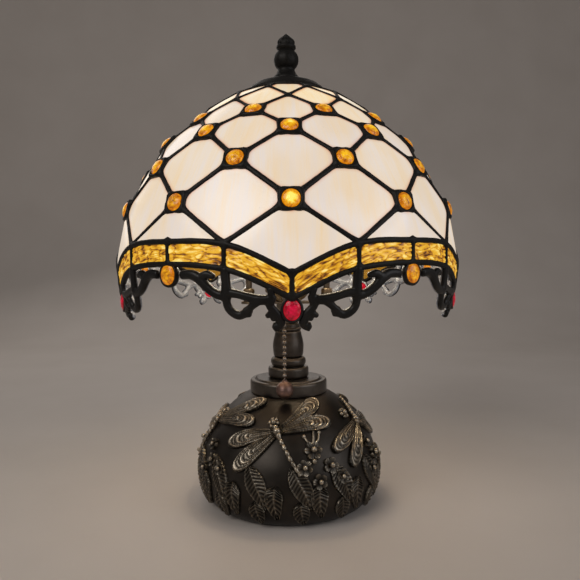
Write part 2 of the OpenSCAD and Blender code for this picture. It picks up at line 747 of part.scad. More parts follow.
// A lead line of rectangular section through points, each [radius, azimuth, height]
module lead_line(line, w = came_w, closed = false) {
    count = len(line);
    at = [for (p = line) on(p[0], p[1], p[2])];
    rings = [for (i = [0 : count - 1])
        let (before = closed ? (i + count - 1) % count : max(i - 1, 0),
            after = closed ? (i + 1) % count : min(i + 1, count - 1),
            d = (at[after] - at[before]) / norm(at[after] - at[before]),
            n = outward(line[i][0], line[i][1], line[i][2]),
            side = cross(n, d) / norm(cross(n, d)) * w / 2)
        each [for (s = [[-1, 1], [1, 1], [1, 0], [-1, 0]])
            at[i] + s[0] * side + n * (came_out - (1 - s[1]) * came_t)]];
    total = 4 * count;
    walls = [for (i = [0 : closed ? count - 1 : count - 2], k = [0 : 3])
        let (n = (k + 1) % 4, b = 4 * i)
        each [[b + n, (b + 4 + n) % total, b + k], [(b + 4 + n) % total, (b + 4 + k) % total, b + k]]];
    ends = [[2, 1, 0], [3, 2, 0], [total - 3, total - 2, total - 4], [total - 2, total - 1, total - 4]];
    polyhedron(points = rings, faces = closed ? walls : concat(walls, ends));
}

module band_lead() {
    turns = [0 : 2 * row_count - 1];
    upright_trim = came_w * 0.59;
    color("#1a1715") {
        lead_line([for (k = turns) [band_r, k * half_step, band_edge(band_top, k)]], came_w, true);
        lead_line([for (k = turns) let (z = band_edge(band_low, k)) [skirt_r(z), k * half_step, z]],
            came_w, true);
        for (k = turns) {
            a = k * half_step;
            low = band_edge(band_low, k);
            lead_bar(on(skirt_r(low), a, low), on(band_r, a, band_edge(band_top, k)),
                outward(band_r, a, dome_z), [upright_trim, upright_trim]);
        }
    }
}

// Half of one repeat of the cast skirt, each stroke as [azimuth, height] points
skirt_strokes = [
    [[17.9, 179.5], [17.8, 167]],
    [[5.4, 163.2], [8.6, 162.4], [12.5, 165], [17.8, 167.3]],
    [[5.4, 168], [5.4, 163.2], [5.7, 159.2], [4.2, 155], [3, 148.8], [5, 145.9]],
    [[4.2, 155], [6.7, 152.9]],
    [[9, 162], [10.8, 159.4], [12.6, 155.4]],
    [[17.6, 166], [17.9, 159.5], [16.9, 154.2], [14.6, 152.9], [12.6, 155.4]],
    [[17.8, 163.6], [21, 166], [24, 170.5], [26, 175.6], [28.7, 177.2], [31.4, 176.6]],
    [[25.4, 175.4], [21.5, 176.4]]
];

module filigree() {
    color("#1a1715") for (a = [0 : 2 * step : 359], side = [-1, 1]) union() {
        for (line = skirt_strokes)
            lead_line([for (p = line) [skirt_r(p[1]), a + side * p[0], p[1]]], stroke_w);
    }
}

base_shell();
base_relief();
base_weight();
felt_pad();
cord_grommet();
base_lid();
neck_foot();
neck_barrel();
neck_collar();
neck_riser();
centre_pipe();
pipe_nuts();
pipe_washer();
harp_saddle();
harp_legs();
harp_wire();
harp_stud();
harp_ferrule_left();
harp_ferrule_right();
socket_cap();
socket_shell();
socket_liner();
socket_core();
screw_shell();
centre_contact();
switch_spout();
pull_link();
chain_coupling();
pull_chain();
chain_ball();
bulb_glass();
bulb_base();
bulb_stem();
shade_cap();
finial();
point_glass();
arch_glass();
glass_row_1();
glass_row_2();
glass_row_3();
glass_row_4();
glass_row_5();
crown_glass();
band_glass();
amber_jewels();
drop_jewels();
ruby_jewels();
jewel_bezels();
drop_bezels();
ruby_bezels();
lattice_lead();
band_lead();
filigree();
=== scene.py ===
import json
import math
import random

import bmesh
import bpy
import numpy as np
from mathutils import Matrix, Vector, noise

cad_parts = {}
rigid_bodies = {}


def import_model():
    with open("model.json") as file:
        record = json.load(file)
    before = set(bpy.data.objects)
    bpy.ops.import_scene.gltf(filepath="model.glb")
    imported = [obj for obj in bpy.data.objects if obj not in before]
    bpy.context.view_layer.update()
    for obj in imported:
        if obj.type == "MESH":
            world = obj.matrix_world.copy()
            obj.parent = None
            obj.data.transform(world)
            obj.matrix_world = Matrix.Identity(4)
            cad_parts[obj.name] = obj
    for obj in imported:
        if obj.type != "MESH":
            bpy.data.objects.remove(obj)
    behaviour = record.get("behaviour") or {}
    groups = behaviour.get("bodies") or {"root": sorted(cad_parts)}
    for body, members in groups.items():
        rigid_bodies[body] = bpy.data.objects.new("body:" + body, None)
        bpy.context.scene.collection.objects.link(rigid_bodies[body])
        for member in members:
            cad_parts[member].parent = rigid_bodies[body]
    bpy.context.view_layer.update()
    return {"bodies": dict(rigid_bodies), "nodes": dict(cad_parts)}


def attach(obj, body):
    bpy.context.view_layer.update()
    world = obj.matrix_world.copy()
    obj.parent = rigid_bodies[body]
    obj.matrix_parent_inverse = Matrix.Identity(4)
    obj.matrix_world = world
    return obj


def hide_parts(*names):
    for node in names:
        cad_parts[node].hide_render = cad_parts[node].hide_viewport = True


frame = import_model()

# The looks of the stained glass table lamp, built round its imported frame.
# Shapes are worked out in millimetres and become metres as they are built. An azimuth
# is in degrees from -Y and grows towards +X, as in the frame.

MM = 0.001
UP = np.array([0.0, 0.0, 1.0])

# The shade's lattice: the radius and height of each row of nodes, from the band up
ROW_R = [126.5, 119.5, 107, 90.5, 74, 60, 42]
ROW_Z = [195, 221, 247, 268.5, 283, 295, 306]
STEP = 36
HALF = STEP / 2
JEWEL_ROWS = (1, 2, 3, 4)
DOME_Z = 187
BAND_R = 126.5
BAND_TOP = [178, 195, 197]
BAND_LOW = [163.5, 180.5, 183.5]
GLASS_T = 2.6
CAME_W = 3.9
BAR_THINNING = [0.0, 0.0, 0.1, 0.25, 0.5, 0.6]
# How deep a lead line's middle lies, its half depth, and the voxel of the leads' skin
LEAD_SEAT = 0.95
LEAD_DEPTH = 2.1
LEAD_VOXEL = 0.8
# The jewels, their collars and the cap
JEWEL_R = 5.5
COLLAR = (8.0, 7.4)
GLASS_CUT = 6.5
RUBY = (5.0, 6.1)
RUBY_Z = 156.8
DROP = (JEWEL_R, JEWEL_R + 0.6)
DROP_Z = 177
CAP_R = 30
RIM_Z = 311.5

# The base and the neck
BASE_LOW = [(55, 0), (64, 3), (70, 14), (69, 30)]
BASE_HIGH = [(69, 30), (67, 55), (42, 80), (28, 84)]
BASE_WALL = 4
INLET_Z = 17
LEAF_COUNT = 14

# The chain
CHAIN_Y = 38.2
CHAIN_AZ = -5.2
CHAIN_TOP = 168.55
CHAIN_LOW = 98.4
FIRST_BEAD = 166.4
BEAD_COUNT = 17
BEAD_PITCH = 4
BEAD_R = 1.6
FOB_Z = 92
FOB_R = 6.4
GLOBE_Z = 243
GLOBE_R = 30


# ---- points and shapes ----

def on(r, a, z):
    """Points at radius r, azimuth a and height z."""
    t = np.radians(a)
    x, y, z = np.broadcast_arrays(r * np.sin(t), -r * np.cos(t), np.asarray(z, float))
    return np.stack([x, y, z], -1)


def skirt_r(z):
    """Radius of the skirt at height z, on the sphere that the dome belongs to."""
    return np.sqrt(BAND_R ** 2 - np.minimum(np.asarray(z, float) - DOME_Z, 0) ** 2)


def on_skirt(a, z):
    """Points on the skirt at azimuth a and height z."""
    return on(skirt_r(z), a, z)


def unit(v):
    v = np.asarray(v, float)
    return v / np.maximum(np.linalg.norm(v, axis=-1, keepdims=True), 1e-9)


def outward(p):
    """The dome's outward normals at the points p."""
    return unit(np.asarray(p, float) - np.array([0, 0, DOME_Z]))


def node(i, a):
    """The lattice node of row i at azimuth a."""
    return on(ROW_R[i], a, ROW_Z[i])


def row_az(i):
    return [k * STEP + (HALF if i % 2 == 0 else 0) for k in range(10)]


def cubic(p, t):
    """Points of the cubic curve with the four control points p."""
    p, t = np.asarray(p, float), np.asarray(t, float)[:, None]
    return (1 - t) ** 3 * p[0] + 3 * (1 - t) ** 2 * t * p[1] + 3 * (1 - t) * t * t * p[2] + t ** 3 * p[3]


def smooth_line(points, per=6):
    """A smooth line through points of any width of row, with per steps from one to the next."""
    p = np.asarray(points, float)
    p = np.vstack([2 * p[0] - p[1], p, 2 * p[-1] - p[-2]])
    t = np.arange(per)[:, None] / per
    parts = []
    for a, b, c, d in zip(p, p[1:], p[2:], p[3:]):
        parts.append(b + 0.5 * t * (c - a + t * (2 * a - 5 * b + 4 * c - d + t * (3 * (b - c) + d - a))))
    return np.vstack(parts + [p[-2:-1]])


def wobble(p, size, seed=0.0):
    """Smooth noise from -1 to 1 at the points p, whose features are size apart."""
    return np.array([noise.noise(Vector(q) / size + Vector((seed, 7.1 * seed, 3.3))) for q in p])


class Shape:
    """Points, faces and values at the points, gathered for one mesh."""

    def __init__(self):
        self.points, self.faces, self.values, self.count = [], [], {}, 0

    def add(self, points, faces, **values):
        points = np.asarray(points, float).reshape(-1, 3)
        self.points.append(points)
        self.faces += [tuple(i + self.count for i in f) for f in faces]
        for name, value in values.items():
            value = np.asarray(value, float)
            if value.ndim == 0:
                value = np.full(len(points), float(value))
            self.values.setdefault(name, []).append(value)
        self.count += len(points)

    def mesh(self, name):
        mesh = bpy.data.meshes.new(name)
        mesh.from_pydata((np.vstack(self.points) * MM).tolist(), [], self.faces)
        for key, parts in self.values.items():
            data = np.concatenate(parts)
            kind = "FLOAT" if data.ndim == 1 else "FLOAT_VECTOR"
            store = mesh.attributes.new(key, kind, "POINT")
            store.data.foreach_set("value" if data.ndim == 1 else "vector", data.ravel().astype(np.float32))
        return mesh


def grid_faces(rows, cols, round_cols=False):
    """Faces of a grid of points with rows x cols, whose columns may close on themselves."""
    last = cols if round_cols else cols - 1
    return [(i * cols + j, i * cols + (j + 1) % cols, (i + 1) * cols + (j + 1) % cols, (i + 1) * cols + j)
            for i in range(rows - 1) for j in range(last)]


def tip_faces(sides, count):
    """Triangles from the first and last rings of count points to the two points that follow."""
    low = count - sides
    first = [((j + 1) % sides, j, count) for j in range(sides)]
    return first + [(low + j, low + (j + 1) % sides, count + 1) for j in range(sides)]


def end_faces(rows, sides):
    """The two flat faces over the first and the last of rows rings."""
    low = (rows - 1) * sides
    return [tuple(reversed(range(sides))), tuple(low + j for j in range(sides))]


def rim_loop(rows, cols):
    """The points along the edge of a grid, in order round it."""
    right = [i * cols + cols - 1 for i in range(1, rows)]
    top = [(rows - 1) * cols + j for j in range(cols - 2, -1, -1)]
    left = [i * cols for i in range(rows - 2, 0, -1)]
    return list(range(cols)) + right + top + left


def tube(shape, path, normals, width, height, sides=10, closed=False, square=1.0, **values):
    """A bar along path: width and height are half sizes at its points, across and along the normals."""
    path, count = np.asarray(path, float), len(path)
    if closed:
        ahead, behind = np.roll(path, -1, 0), np.roll(path, 1, 0)
    else:
        ahead, behind = np.vstack([path[1:], path[-1:]]), np.vstack([path[:1], path[:-1]])
    along = unit(ahead - behind)
    side = unit(np.cross(np.broadcast_to(normals, path.shape), along))
    up = np.cross(along, side)
    turn = 2 * np.pi * np.arange(sides) / sides
    c = np.sign(np.cos(turn)) * np.abs(np.cos(turn)) ** square
    s = np.sign(np.sin(turn)) * np.abs(np.sin(turn)) ** square
    w = np.broadcast_to(width, count)[:, None, None]
    h = np.broadcast_to(height, count)[:, None, None]
    rings = path[:, None] + w * c[None, :, None] * side[:, None] + h * s[None, :, None] * up[:, None]
    points = rings.reshape(-1, 3)
    faces = grid_faces(count, sides, True)
    if closed:
        low = (count - 1) * sides
        faces += [(low + j, low + (j + 1) % sides, (j + 1) % sides, j) for j in range(sides)]
    else:
        reach = np.broadcast_to(np.minimum(width, height), count)
        ends = [path[0] - along[0] * reach[0] * 0.6, path[-1] + along[-1] * reach[-1] * 0.6]
        points = np.vstack([points, ends])
        faces += tip_faces(sides, count * sides)
    for key, value in values.items():
        if np.ndim(value):
            values[key] = np.append(np.repeat(value, sides), [] if closed else [value[0], value[-1]])
    shape.add(points, faces, **values)


def ball(shape, centre, r, rings=8, sides=12, squash=1.0, axis=UP, **values):
    """A ball, or with squash a flattened one whose short way is axis."""
    axis = unit(axis)
    across = unit(np.cross(axis, [0.3, 0.9, 0.1] if abs(axis[2]) > 0.9 else UP))
    third = np.cross(axis, across)
    polar = np.linspace(0, np.pi, rings + 1)[1:-1]
    turn = 2 * np.pi * np.arange(sides) / sides
    c = np.cos(polar)[:, None, None] * squash * axis
    s = np.sin(polar)[:, None, None] * (np.cos(turn)[:, None] * across + np.sin(turn)[:, None] * third)
    poles = [centre + r * squash * axis, centre - r * squash * axis]
    points = np.vstack([(centre + r * (c + s)).reshape(-1, 3), poles])
    faces = grid_faces(rings - 1, sides, True) + tip_faces(sides, (rings - 1) * sides)
    shape.add(points, faces, **values)


def fillet(outline, r, steps=4):
    """An outline of (radius, height) points whose inner corners are rounded by about r."""
    p = [np.array(q, float) for q in outline]
    out = [p[0]]
    for a, b, c in zip(p, p[1:], p[2:]):
        cut = min(r, 0.45 * np.linalg.norm(a - b), 0.45 * np.linalg.norm(c - b))
        start, end = b + unit(a - b) * cut, b + unit(c - b) * cut
        for t in np.linspace(0, 1, steps):
            out.append((1 - t) ** 2 * start + 2 * t * (1 - t) * b + t * t * end)
    return np.array(out + [p[-1]])


def lathe(shape, outline, sides=96, lobes=None, **values):
    """Turns an outline about the lamp's axis. lobes(height, angle) scales the radius."""
    outline = np.asarray(outline, float)
    a = 360 * np.arange(sides) / sides
    r = np.repeat(np.maximum(outline[:, :1], 0.02), sides, 1)
    z = np.repeat(outline[:, 1:], sides, 1)
    if lobes is not None:
        r = r * lobes(z, a[None, :])
    faces = grid_faces(len(outline), sides, True)
    if np.allclose(outline[0], outline[-1]):
        r, z = r[:-1], z[:-1]
        low = (len(outline) - 2) * sides
        faces = faces[:low] + [(low + j, low + (j + 1) % sides, (j + 1) % sides, j) for j in range(sides)]
    else:
        last = (len(outline) - 1) * sides
        faces += [tuple(range(sides)), tuple(range(last + sides - 1, last - 1, -1))]
    shape.add(on(r, a[None, :], z), faces, **values)


def finish_mesh(mesh, angle):
    """Merges points that coincide, turns the faces outwards and keeps edges over angle sharp."""
    bm = bmesh.new()
    bm.from_mesh(mesh)
    bmesh.ops.remove_doubles(bm, verts=bm.verts, dist=2e-6)
    bmesh.ops.dissolve_degenerate(bm, edges=bm.edges, dist=1e-6)
    bmesh.ops.recalc_face_normals(bm, faces=bm.faces)
    bm.to_mesh(mesh)
    bm.free()
    mesh.shade_smooth()
    mesh.set_sharp_from_angle(angle=math.radians(angle))


def new_object(name, data):
    """An object of data, linked to the scene."""
    obj = bpy.data.objects.new(name, data)
    bpy.context.scene.collection.objects.link(obj)
    return obj


def applied(obj):
    """A mesh of obj with its modifiers applied."""
    bpy.context.view_layer.update()
    return bpy.data.meshes.new_from_object(obj.evaluated_get(bpy.context.evaluated_depsgraph_get()))


def build(name, shape, look, body, stands_for=(), angle=42):
    """Makes a piece of the lamp that rides on body and stands for CAD nodes."""
    mesh = shape if isinstance(shape, bpy.types.Mesh) else shape.mesh(name)
    finish_mesh(mesh, angle)
    obj = new_object(name, mesh)
    mesh.materials.append(look)
    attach(obj, body)
    if stands_for:
        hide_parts(*stands_for)
    return obj


def fused(shape, voxel, rounds, keep):
    """One smooth skin round overlapping solids, as (points, faces) in millimetres."""
    obj = new_object("rough", shape.mesh("rough"))
    skin = obj.modifiers.new("skin", "REMESH")
    skin.mode = "VOXEL"
    skin.voxel_size = voxel * MM
    soft = obj.modifiers.new("soft", "SMOOTH")
    soft.factor = 0.5
    soft.iterations = rounds
    thin = obj.modifiers.new("thin", "DECIMATE")
    thin.ratio = keep
    done = applied(obj)
    points = np.zeros(len(done.vertices) * 3)
    done.vertices.foreach_get("co", points)
    faces = [tuple(f.vertices) for f in done.polygons]
    bpy.data.objects.remove(obj)
    bpy.data.meshes.remove(done)
    return points.reshape(-1, 3) / MM, faces


# ---- materials ----

class Look:
    """A node material, made a node at a time."""

    def __init__(self, name, **sockets):
        self.material = bpy.data.materials.new(name)
        self.material.use_nodes = True
        self.tree = self.material.node_tree
        self.shader = self.tree.nodes["Principled BSDF"]
        for key, value in sockets.items():
            self.put(key, value)

    def put(self, socket, value):
        self.join(value, self.shader.inputs[socket.replace("_", " ")])

    def join(self, value, socket):
        if isinstance(value, bpy.types.NodeSocket):
            self.tree.links.new(value, socket)
        elif isinstance(value, tuple) and len(value) == 3 and socket.type == "RGBA":
            socket.default_value = (*value, 1)
        else:
            socket.default_value = value

    def add(self, kind, settings=(), **inputs):
        made = self.tree.nodes.new("ShaderNode" + kind)
        for key, value in dict(settings).items():
            setattr(made, key, value)
        for key, value in inputs.items():
            self.join(value, made.inputs[int(key[1:]) if key[0] == "i" and key[1:].isdigit() else key])
        return made

    def read(self, name, vector=False):
        return self.add("Attribute", {"attribute_name": name}).outputs["Vector" if vector else "Fac"]

    def place(self, stretch=(1, 1, 1), source=None):
        """Coordinates, in metres from the lamp's origin unless source gives others, times stretch."""
        source = source or self.add("TexCoord").outputs["Object"]
        return self.add("VectorMath", {"operation": "MULTIPLY"}, i0=source, i1=stretch).outputs[0]

    def noise(self, scale, detail=3.0, source=None, distortion=0.0):
        return self.add("TexNoise", Vector=source or self.place(), Scale=scale, Detail=detail,
                        Distortion=distortion).outputs["Fac"]

    def cells(self, scale, source=None):
        return self.add("TexVoronoi", {"feature": "SMOOTH_F1"}, Vector=source or self.place(),
                        Scale=scale).outputs["Distance"]

    def ramp(self, factor, *stops):
        made = self.add("ValToRGB", Fac=factor)
        marks = made.color_ramp.elements
        while len(marks) < len(stops):
            marks.new(0.5)
        for mark, (where, colour) in zip(marks, stops):
            mark.position = where
            mark.color = (*colour, 1) if isinstance(colour, tuple) else (colour, colour, colour, 1)
        return made.outputs["Color"]

    def mix(self, factor, a, b, blend="MIX"):
        made = self.add("Mix", {"data_type": "RGBA", "blend_type": blend})
        self.join(factor, made.inputs[0])
        self.join(a, made.inputs[6])
        self.join(b, made.inputs[7])
        return made.outputs[2]

    def times(self, a, b, amount=1.0):
        return self.mix(amount, a, b, "MULTIPLY")

    def lit(self, tone):
        """A tone that is dimmed where the mesh says that less light comes through."""
        return self.times(tone, self.ramp(self.read("glow"), (0.0, 0.0), (1.0, 1.0)))

    def math(self, operation, a, b):
        return self.add("Math", {"operation": operation}, i0=a, i1=b).outputs[0]

    def bump(self, height, strength, distance):
        self.put("Normal", self.add("Bump", Height=height, Strength=strength, Distance=distance).outputs[0])


def opal_look():
    """Opalescent sheet glass, lit from behind: milky, with streaks along the sheet."""
    look = Look("opal_glass", Roughness=0.3, Coat_Weight=0.15, Coat_Roughness=0.12)
    flow = look.read("flow", True)
    broad = look.noise(1.0, 4, look.place((0.15, 0.02, 0.37), flow), 0.4)
    fine = look.noise(1.0, 3, look.place((0.75, 0.035, 0.53), flow))
    streaks = look.math("ADD", look.math("MULTIPLY", broad, 0.62), look.math("MULTIPLY", fine, 0.38))
    clouds = look.noise(1.0, 2, look.place((0.035, 0.02, 0.61), flow))
    cream = look.ramp(streaks, (0.34, (0.82, 0.68, 0.53)), (0.5, (0.80, 0.70, 0.62)),
                      (0.64, (0.76, 0.69, 0.67)))
    warm = look.ramp(streaks, (0.34, (0.98, 0.73, 0.40)), (0.5, (0.98, 0.80, 0.52)),
                     (0.64, (0.95, 0.83, 0.62)))
    tone = look.mix(look.read("warm"), cream, warm)
    tan = look.ramp(clouds, (0.42, (1.0, 1.0, 1.0)), (0.66, (1.0, 0.94, 0.82)))
    tone = look.times(tone, tan)
    specks = look.ramp(look.noise(1.0, 1, look.place((1.3, 1.3, 1.7), flow)), (0.17, 0.45), (0.23, 1.0))
    tone = look.times(tone, specks, 0.6)
    # Painted shade: the glass goes darker and browner where it meets the lead lines and the jewels
    rim = look.ramp(look.read("edge"), (0.05, (0.78, 0.50, 0.44)), (0.085, (0.97, 0.88, 0.84)),
                    (0.14, (1.0, 1.0, 1.0)))
    tone = look.times(tone, rim)
    look.put("Base Color", look.times(tone, (0.32, 0.31, 0.30)))
    look.put("Emission Color", look.lit(tone))
    look.put("Emission Strength", 0.82)
    look.bump(look.noise(1.0, 3, look.place((0.12, 0.05, 1), flow)), 0.2, 0.0005)
    return look.material


def ripple_look():
    """Golden hammered glass: painted pools of light between the ripples, and painted shade that turns the
    troughs brown.
    """
    look = Look("band_glass", Roughness=0.2, Coat_Weight=0.15, Coat_Roughness=0.08)
    flow = look.read("flow", True)
    fine = look.noise(1.0, 4, look.place((0.5, 1.5, 0.7), flow), 1.2)
    height = look.math("ADD", look.read("ripple"), look.math("MULTIPLY", fine, 0.5))
    # Painted light and shade: dark brown in the troughs, bright yellow on the crests
    gold_and_painted_pools = look.ramp(look.math("SUBTRACT", height, 0.25), (0.05, (0.07, 0.02, 0.002)),
                     (0.3, (0.36, 0.13, 0.006)), (0.52, (0.72, 0.35, 0.014)),
                     (0.74, (0.86, 0.48, 0.035)), (0.95, (1.0, 0.78, 0.24)))
    look.put("Base Color", look.times(gold_and_painted_pools, (0.25, 0.25, 0.25)))
    look.put("Emission Color", look.lit(gold_and_painted_pools))
    look.put("Emission Strength", 0.90)
    look.bump(height, 0.45, 0.0007)
    return look.material


def jewel_look(name, dark, mid, bright, flare, glow, clear):
    """A pressed glass jewel with light behind it."""
    look = Look(name, Roughness=0.12, IOR=1.5, Transmission_Weight=clear, Coat_Weight=0.25,
                Coat_Roughness=0.06)
    mottle_and_painted_glare = look.math("ADD", look.noise(380, 3, None, 0.8), look.math("MULTIPLY", look.cells(330), 0.35))
    # Painted glare of the bulb behind the jewels is added to the mottle
    mottle_and_painted_glare = look.math("ADD", mottle_and_painted_glare, look.read("hot"))
    tone = look.ramp(look.math("SUBTRACT", mottle_and_painted_glare, 0.14), (0.22, dark), (0.5, mid), (0.8, bright),
                     (1.0, flare))
    # Painted light: the jewel is lit fullest in its middle and goes deeper and darker towards its rim
    rim = look.ramp(look.read("edge"), (0.0, bright), (0.2, mid), (0.5, (1.0, 1.0, 1.0)))
    tone = look.times(tone, rim, 0.6)
    look.put("Base Color", look.times(tone, (0.3, 0.3, 0.3)))
    look.put("Emission Color", tone)
    look.put("Emission Strength", glow)
    look.bump(mottle_and_painted_glare, 0.6, 0.0012)
    return look.material


def lead_look(name, shade, rubbed):
    """Black-patinated solder and castings, a little rubbed where they stand out."""
    look = Look(name, Metallic=0.4, Specular_IOR_Level=0.25)
    grain = look.noise(900, 5)
    blotch = look.noise(70, 3)
    worn = look.math("MULTIPLY", look.read("worn"), look.ramp(grain, (0.42, 0.0), (0.66, 1.0)))
    dark = look.ramp(blotch, (0.3, shade), (0.75, tuple(1.9 * c for c in shade)))
    look.put("Base Color", look.mix(worn, dark, rubbed))
    matt = look.math("ADD", grain, look.math("MULTIPLY", blotch, 0.3))
    look.put("Roughness", look.ramp(matt, (0.4, 0.36), (0.9, 0.62)))
    look.bump(grain, 0.22, 0.0005)
    return look.material


def filigree_look():
    """Black patina outside; the inner faces and, less, the side walls are painted pale as painted light from
    the bulb.
    """
    look = Look("filigree_black", Metallic=0.4, Specular_IOR_Level=0.3, Coat_Weight=0.12,
                Coat_Roughness=0.15)
    grain = look.noise(900, 5)
    outside = look.ramp(look.noise(70, 3), (0.3, (0.007, 0.0065, 0.006)), (0.8, (0.02, 0.018, 0.017)))
    # Painted bulb light: a pale metal tone on the faces that turn in, fading over the side walls
    painted_bulb_light = look.ramp(grain, (0.3, (0.28, 0.32, 0.40)), (0.7, (0.52, 0.57, 0.68)))
    side = look.ramp(look.read("inside"), (0.02, 0.0), (0.4, 1.0))
    look.put("Base Color", look.mix(side, outside, painted_bulb_light))
    look.put("Roughness", look.ramp(grain, (0.35, 0.34), (0.7, 0.52)))
    look.bump(grain, 0.25, 0.0005)
    return look.material


def bronze_look(name, dark, mid, rubbed, rough):
    """Cast metal with a dark bronze finish, brushed pale where the relief stands out."""
    look = Look(name, Metallic=0.9)
    cloud = look.noise(38, 4, None, 0.3)
    grain = look.noise(1300, 4)
    tone = look.ramp(cloud, (0.3, dark), (0.72, mid))
    patches = look.ramp(look.noise(260, 4), (0.28, 0.25), (0.55, 1.0))
    brushed = look.math("MULTIPLY", look.read("worn"), patches)
    look.put("Base Color", look.mix(brushed, tone, rubbed))
    matt = look.math("ADD", look.math("MULTIPLY", cloud, 0.6), look.math("MULTIPLY", grain, 0.4))
    look.put("Roughness", look.ramp(matt, (0.3, rough - 0.08), (0.7, rough + 0.12)))
    look.bump(grain, 0.15, 0.0003)
    return look.material


def metal_look(name, tone, rough, spin=260.0):
    """Turned or drawn metal with fine marks round it and some tarnish."""
    look = Look(name, Metallic=1.0)
    marks = look.noise(1.0, 3, look.place((14, 14, spin * 4)))
    tarnish = look.noise(90, 4, None, 0.5)
    dulled = look.ramp(tarnish, (0.45, 0.0), (0.75, 0.75))
    look.put("Base Color", look.mix(dulled, tone, tuple(0.42 * c for c in tone)))
    look.put("Roughness", look.ramp(tarnish, (0.3, rough), (0.8, rough + 0.22)))
    look.bump(marks, 0.12, 0.0002)
    return look.material


def plain_look(name, tone, second, rough, scale, depth, metallic=0.0):
    """A dull material in two close tones, with a grain of its own."""
    look = Look(name, Metallic=metallic)
    grain = look.noise(scale, 5)
    look.put("Base Color", look.ramp(grain, (0.32, tone), (0.7, second)))
    look.put("Roughness", look.ramp(grain, (0.3, rough), (0.7, min(1.0, rough + 0.12))))
    look.bump(grain, 0.5, depth)
    return look.material


def felt_look():
    look = plain_look("felt", (0.012, 0.05, 0.028), (0.03, 0.085, 0.05), 0.85, 2600, 0.0006)
    look.node_tree.nodes["Principled BSDF"].inputs["Sheen Weight"].default_value = 0.6
    return look


def bulb_look(name, tone, strength):
    """A frosted envelope that glows, a little unevenly."""
    look = Look(name, Roughness=0.5)
    cloud = look.noise(60, 2)
    warm = look.ramp(cloud, (0.3, tone), (0.8, tuple(min(1.0, 1.06 * c) for c in tone)))
    look.put("Base Color", warm)
    look.put("Emission Color", warm)
    look.put("Emission Strength", strength)
    return look.material


# ---- camera, stage and lights ----

def make_camera():
    """The photograph's view: level with the lattice, a little left of the lamp's front."""
    data = bpy.data.cameras.new("camera")
    data.sensor_width = 36
    data.lens = 38.2
    camera = new_object("camera", data)
    azimuth, pitch, yaw, roll = (math.radians(x) for x in (-1.1, 3.04, 0.2, 0.42))
    away, height = 0.475, 0.187
    camera.location = Vector((away * math.sin(azimuth), -away * math.cos(azimuth), height))
    turn = Matrix.Rotation(azimuth - yaw, 4, "Z") @ Matrix.Rotation(math.radians(90) - pitch, 4, "X")
    camera.rotation_euler = (turn @ Matrix.Rotation(-roll, 4, "Z")).to_euler()
    bpy.context.scene.camera = camera


def make_stage():
    """A plain pale floor that curves up into a backdrop."""
    far, rise, high, half = 1.3, 0.5, 1.7, 1.9
    profile = [(-1.4, 0.0), (far - rise, 0.0)]
    for t in np.linspace(0, math.pi / 2, 14)[1:]:
        profile.append((far - rise + rise * math.sin(t), rise - rise * math.cos(t)))
    profile.append((far, high))
    points = [(x, y, z) for y, z in profile for x in (-half, half)]
    mesh = bpy.data.meshes.new("floor")
    mesh.from_pydata(points, [], grid_faces(len(profile), 2))
    mesh.shade_smooth()
    look = Look("floor_paint", Roughness=0.6, Specular_IOR_Level=0.25)
    paint = look.ramp(look.noise(9, 3), (0.3, (0.50, 0.455, 0.42)), (0.7, (0.53, 0.485, 0.45)))
    look.put("Base Color", paint)
    clear = look.add("BsdfTransparent").outputs[0]
    under = look.add("NewGeometry").outputs["Backfacing"]
    seen = look.add("MixShader", i0=under, i1=look.shader.outputs[0], i2=clear).outputs[0]
    look.tree.links.new(seen, look.tree.nodes["Material Output"].inputs["Surface"])
    mesh.materials.append(look.material)
    new_object("floor", mesh)


def add_light(name, kind, where, energy, colour, size, aim=None):
    data = bpy.data.lights.new(name, kind)
    data.energy = energy
    data.color = colour
    if kind == "AREA":
        data.shape = "RECTANGLE"
        data.size, data.size_y = size
    else:
        data.shadow_soft_size = size
    light = new_object(name, data)
    light.location = where
    if aim is not None:
        light.rotation_euler = (Vector(aim) - Vector(where)).to_track_quat("-Z", "Y").to_euler()
    light.visible_camera = False
    light.visible_transmission = False
    return light


def make_lights():
    scene = bpy.context.scene
    scene.view_settings.view_transform = "Standard"
    world = bpy.data.worlds.new("world")
    world.use_nodes = True
    world.node_tree.nodes["Background"].inputs["Color"].default_value = (0.62, 0.58, 0.55, 1)
    world.node_tree.nodes["Background"].inputs["Strength"].default_value = 0.22
    scene.world = world
    middle = (0, 0, 0.15)
    add_light("key", "AREA", (-0.75, -0.95, 0.95), 7, (1.0, 0.96, 0.92), (0.9, 0.7), middle)
    add_light("fill", "AREA", (0.95, -0.6, 0.55), 3.2, (0.95, 0.96, 1.0), (0.8, 0.8), middle)
    add_light("back", "AREA", (-0.3, 0.9, 0.7), 2.6, (1.0, 0.95, 0.9), (1.2, 0.8), middle)
    bulb = add_light("bulb_light", "POINT", (0, 0, GLOBE_Z * MM), 3.4, (1.0, 0.82, 0.60), (GLOBE_R + 1) * MM)
    bulb.parent = frame["bodies"]["bulb"]


# ---- the chain ----

def chain_point(z):
    return on(CHAIN_Y, CHAIN_AZ, z)


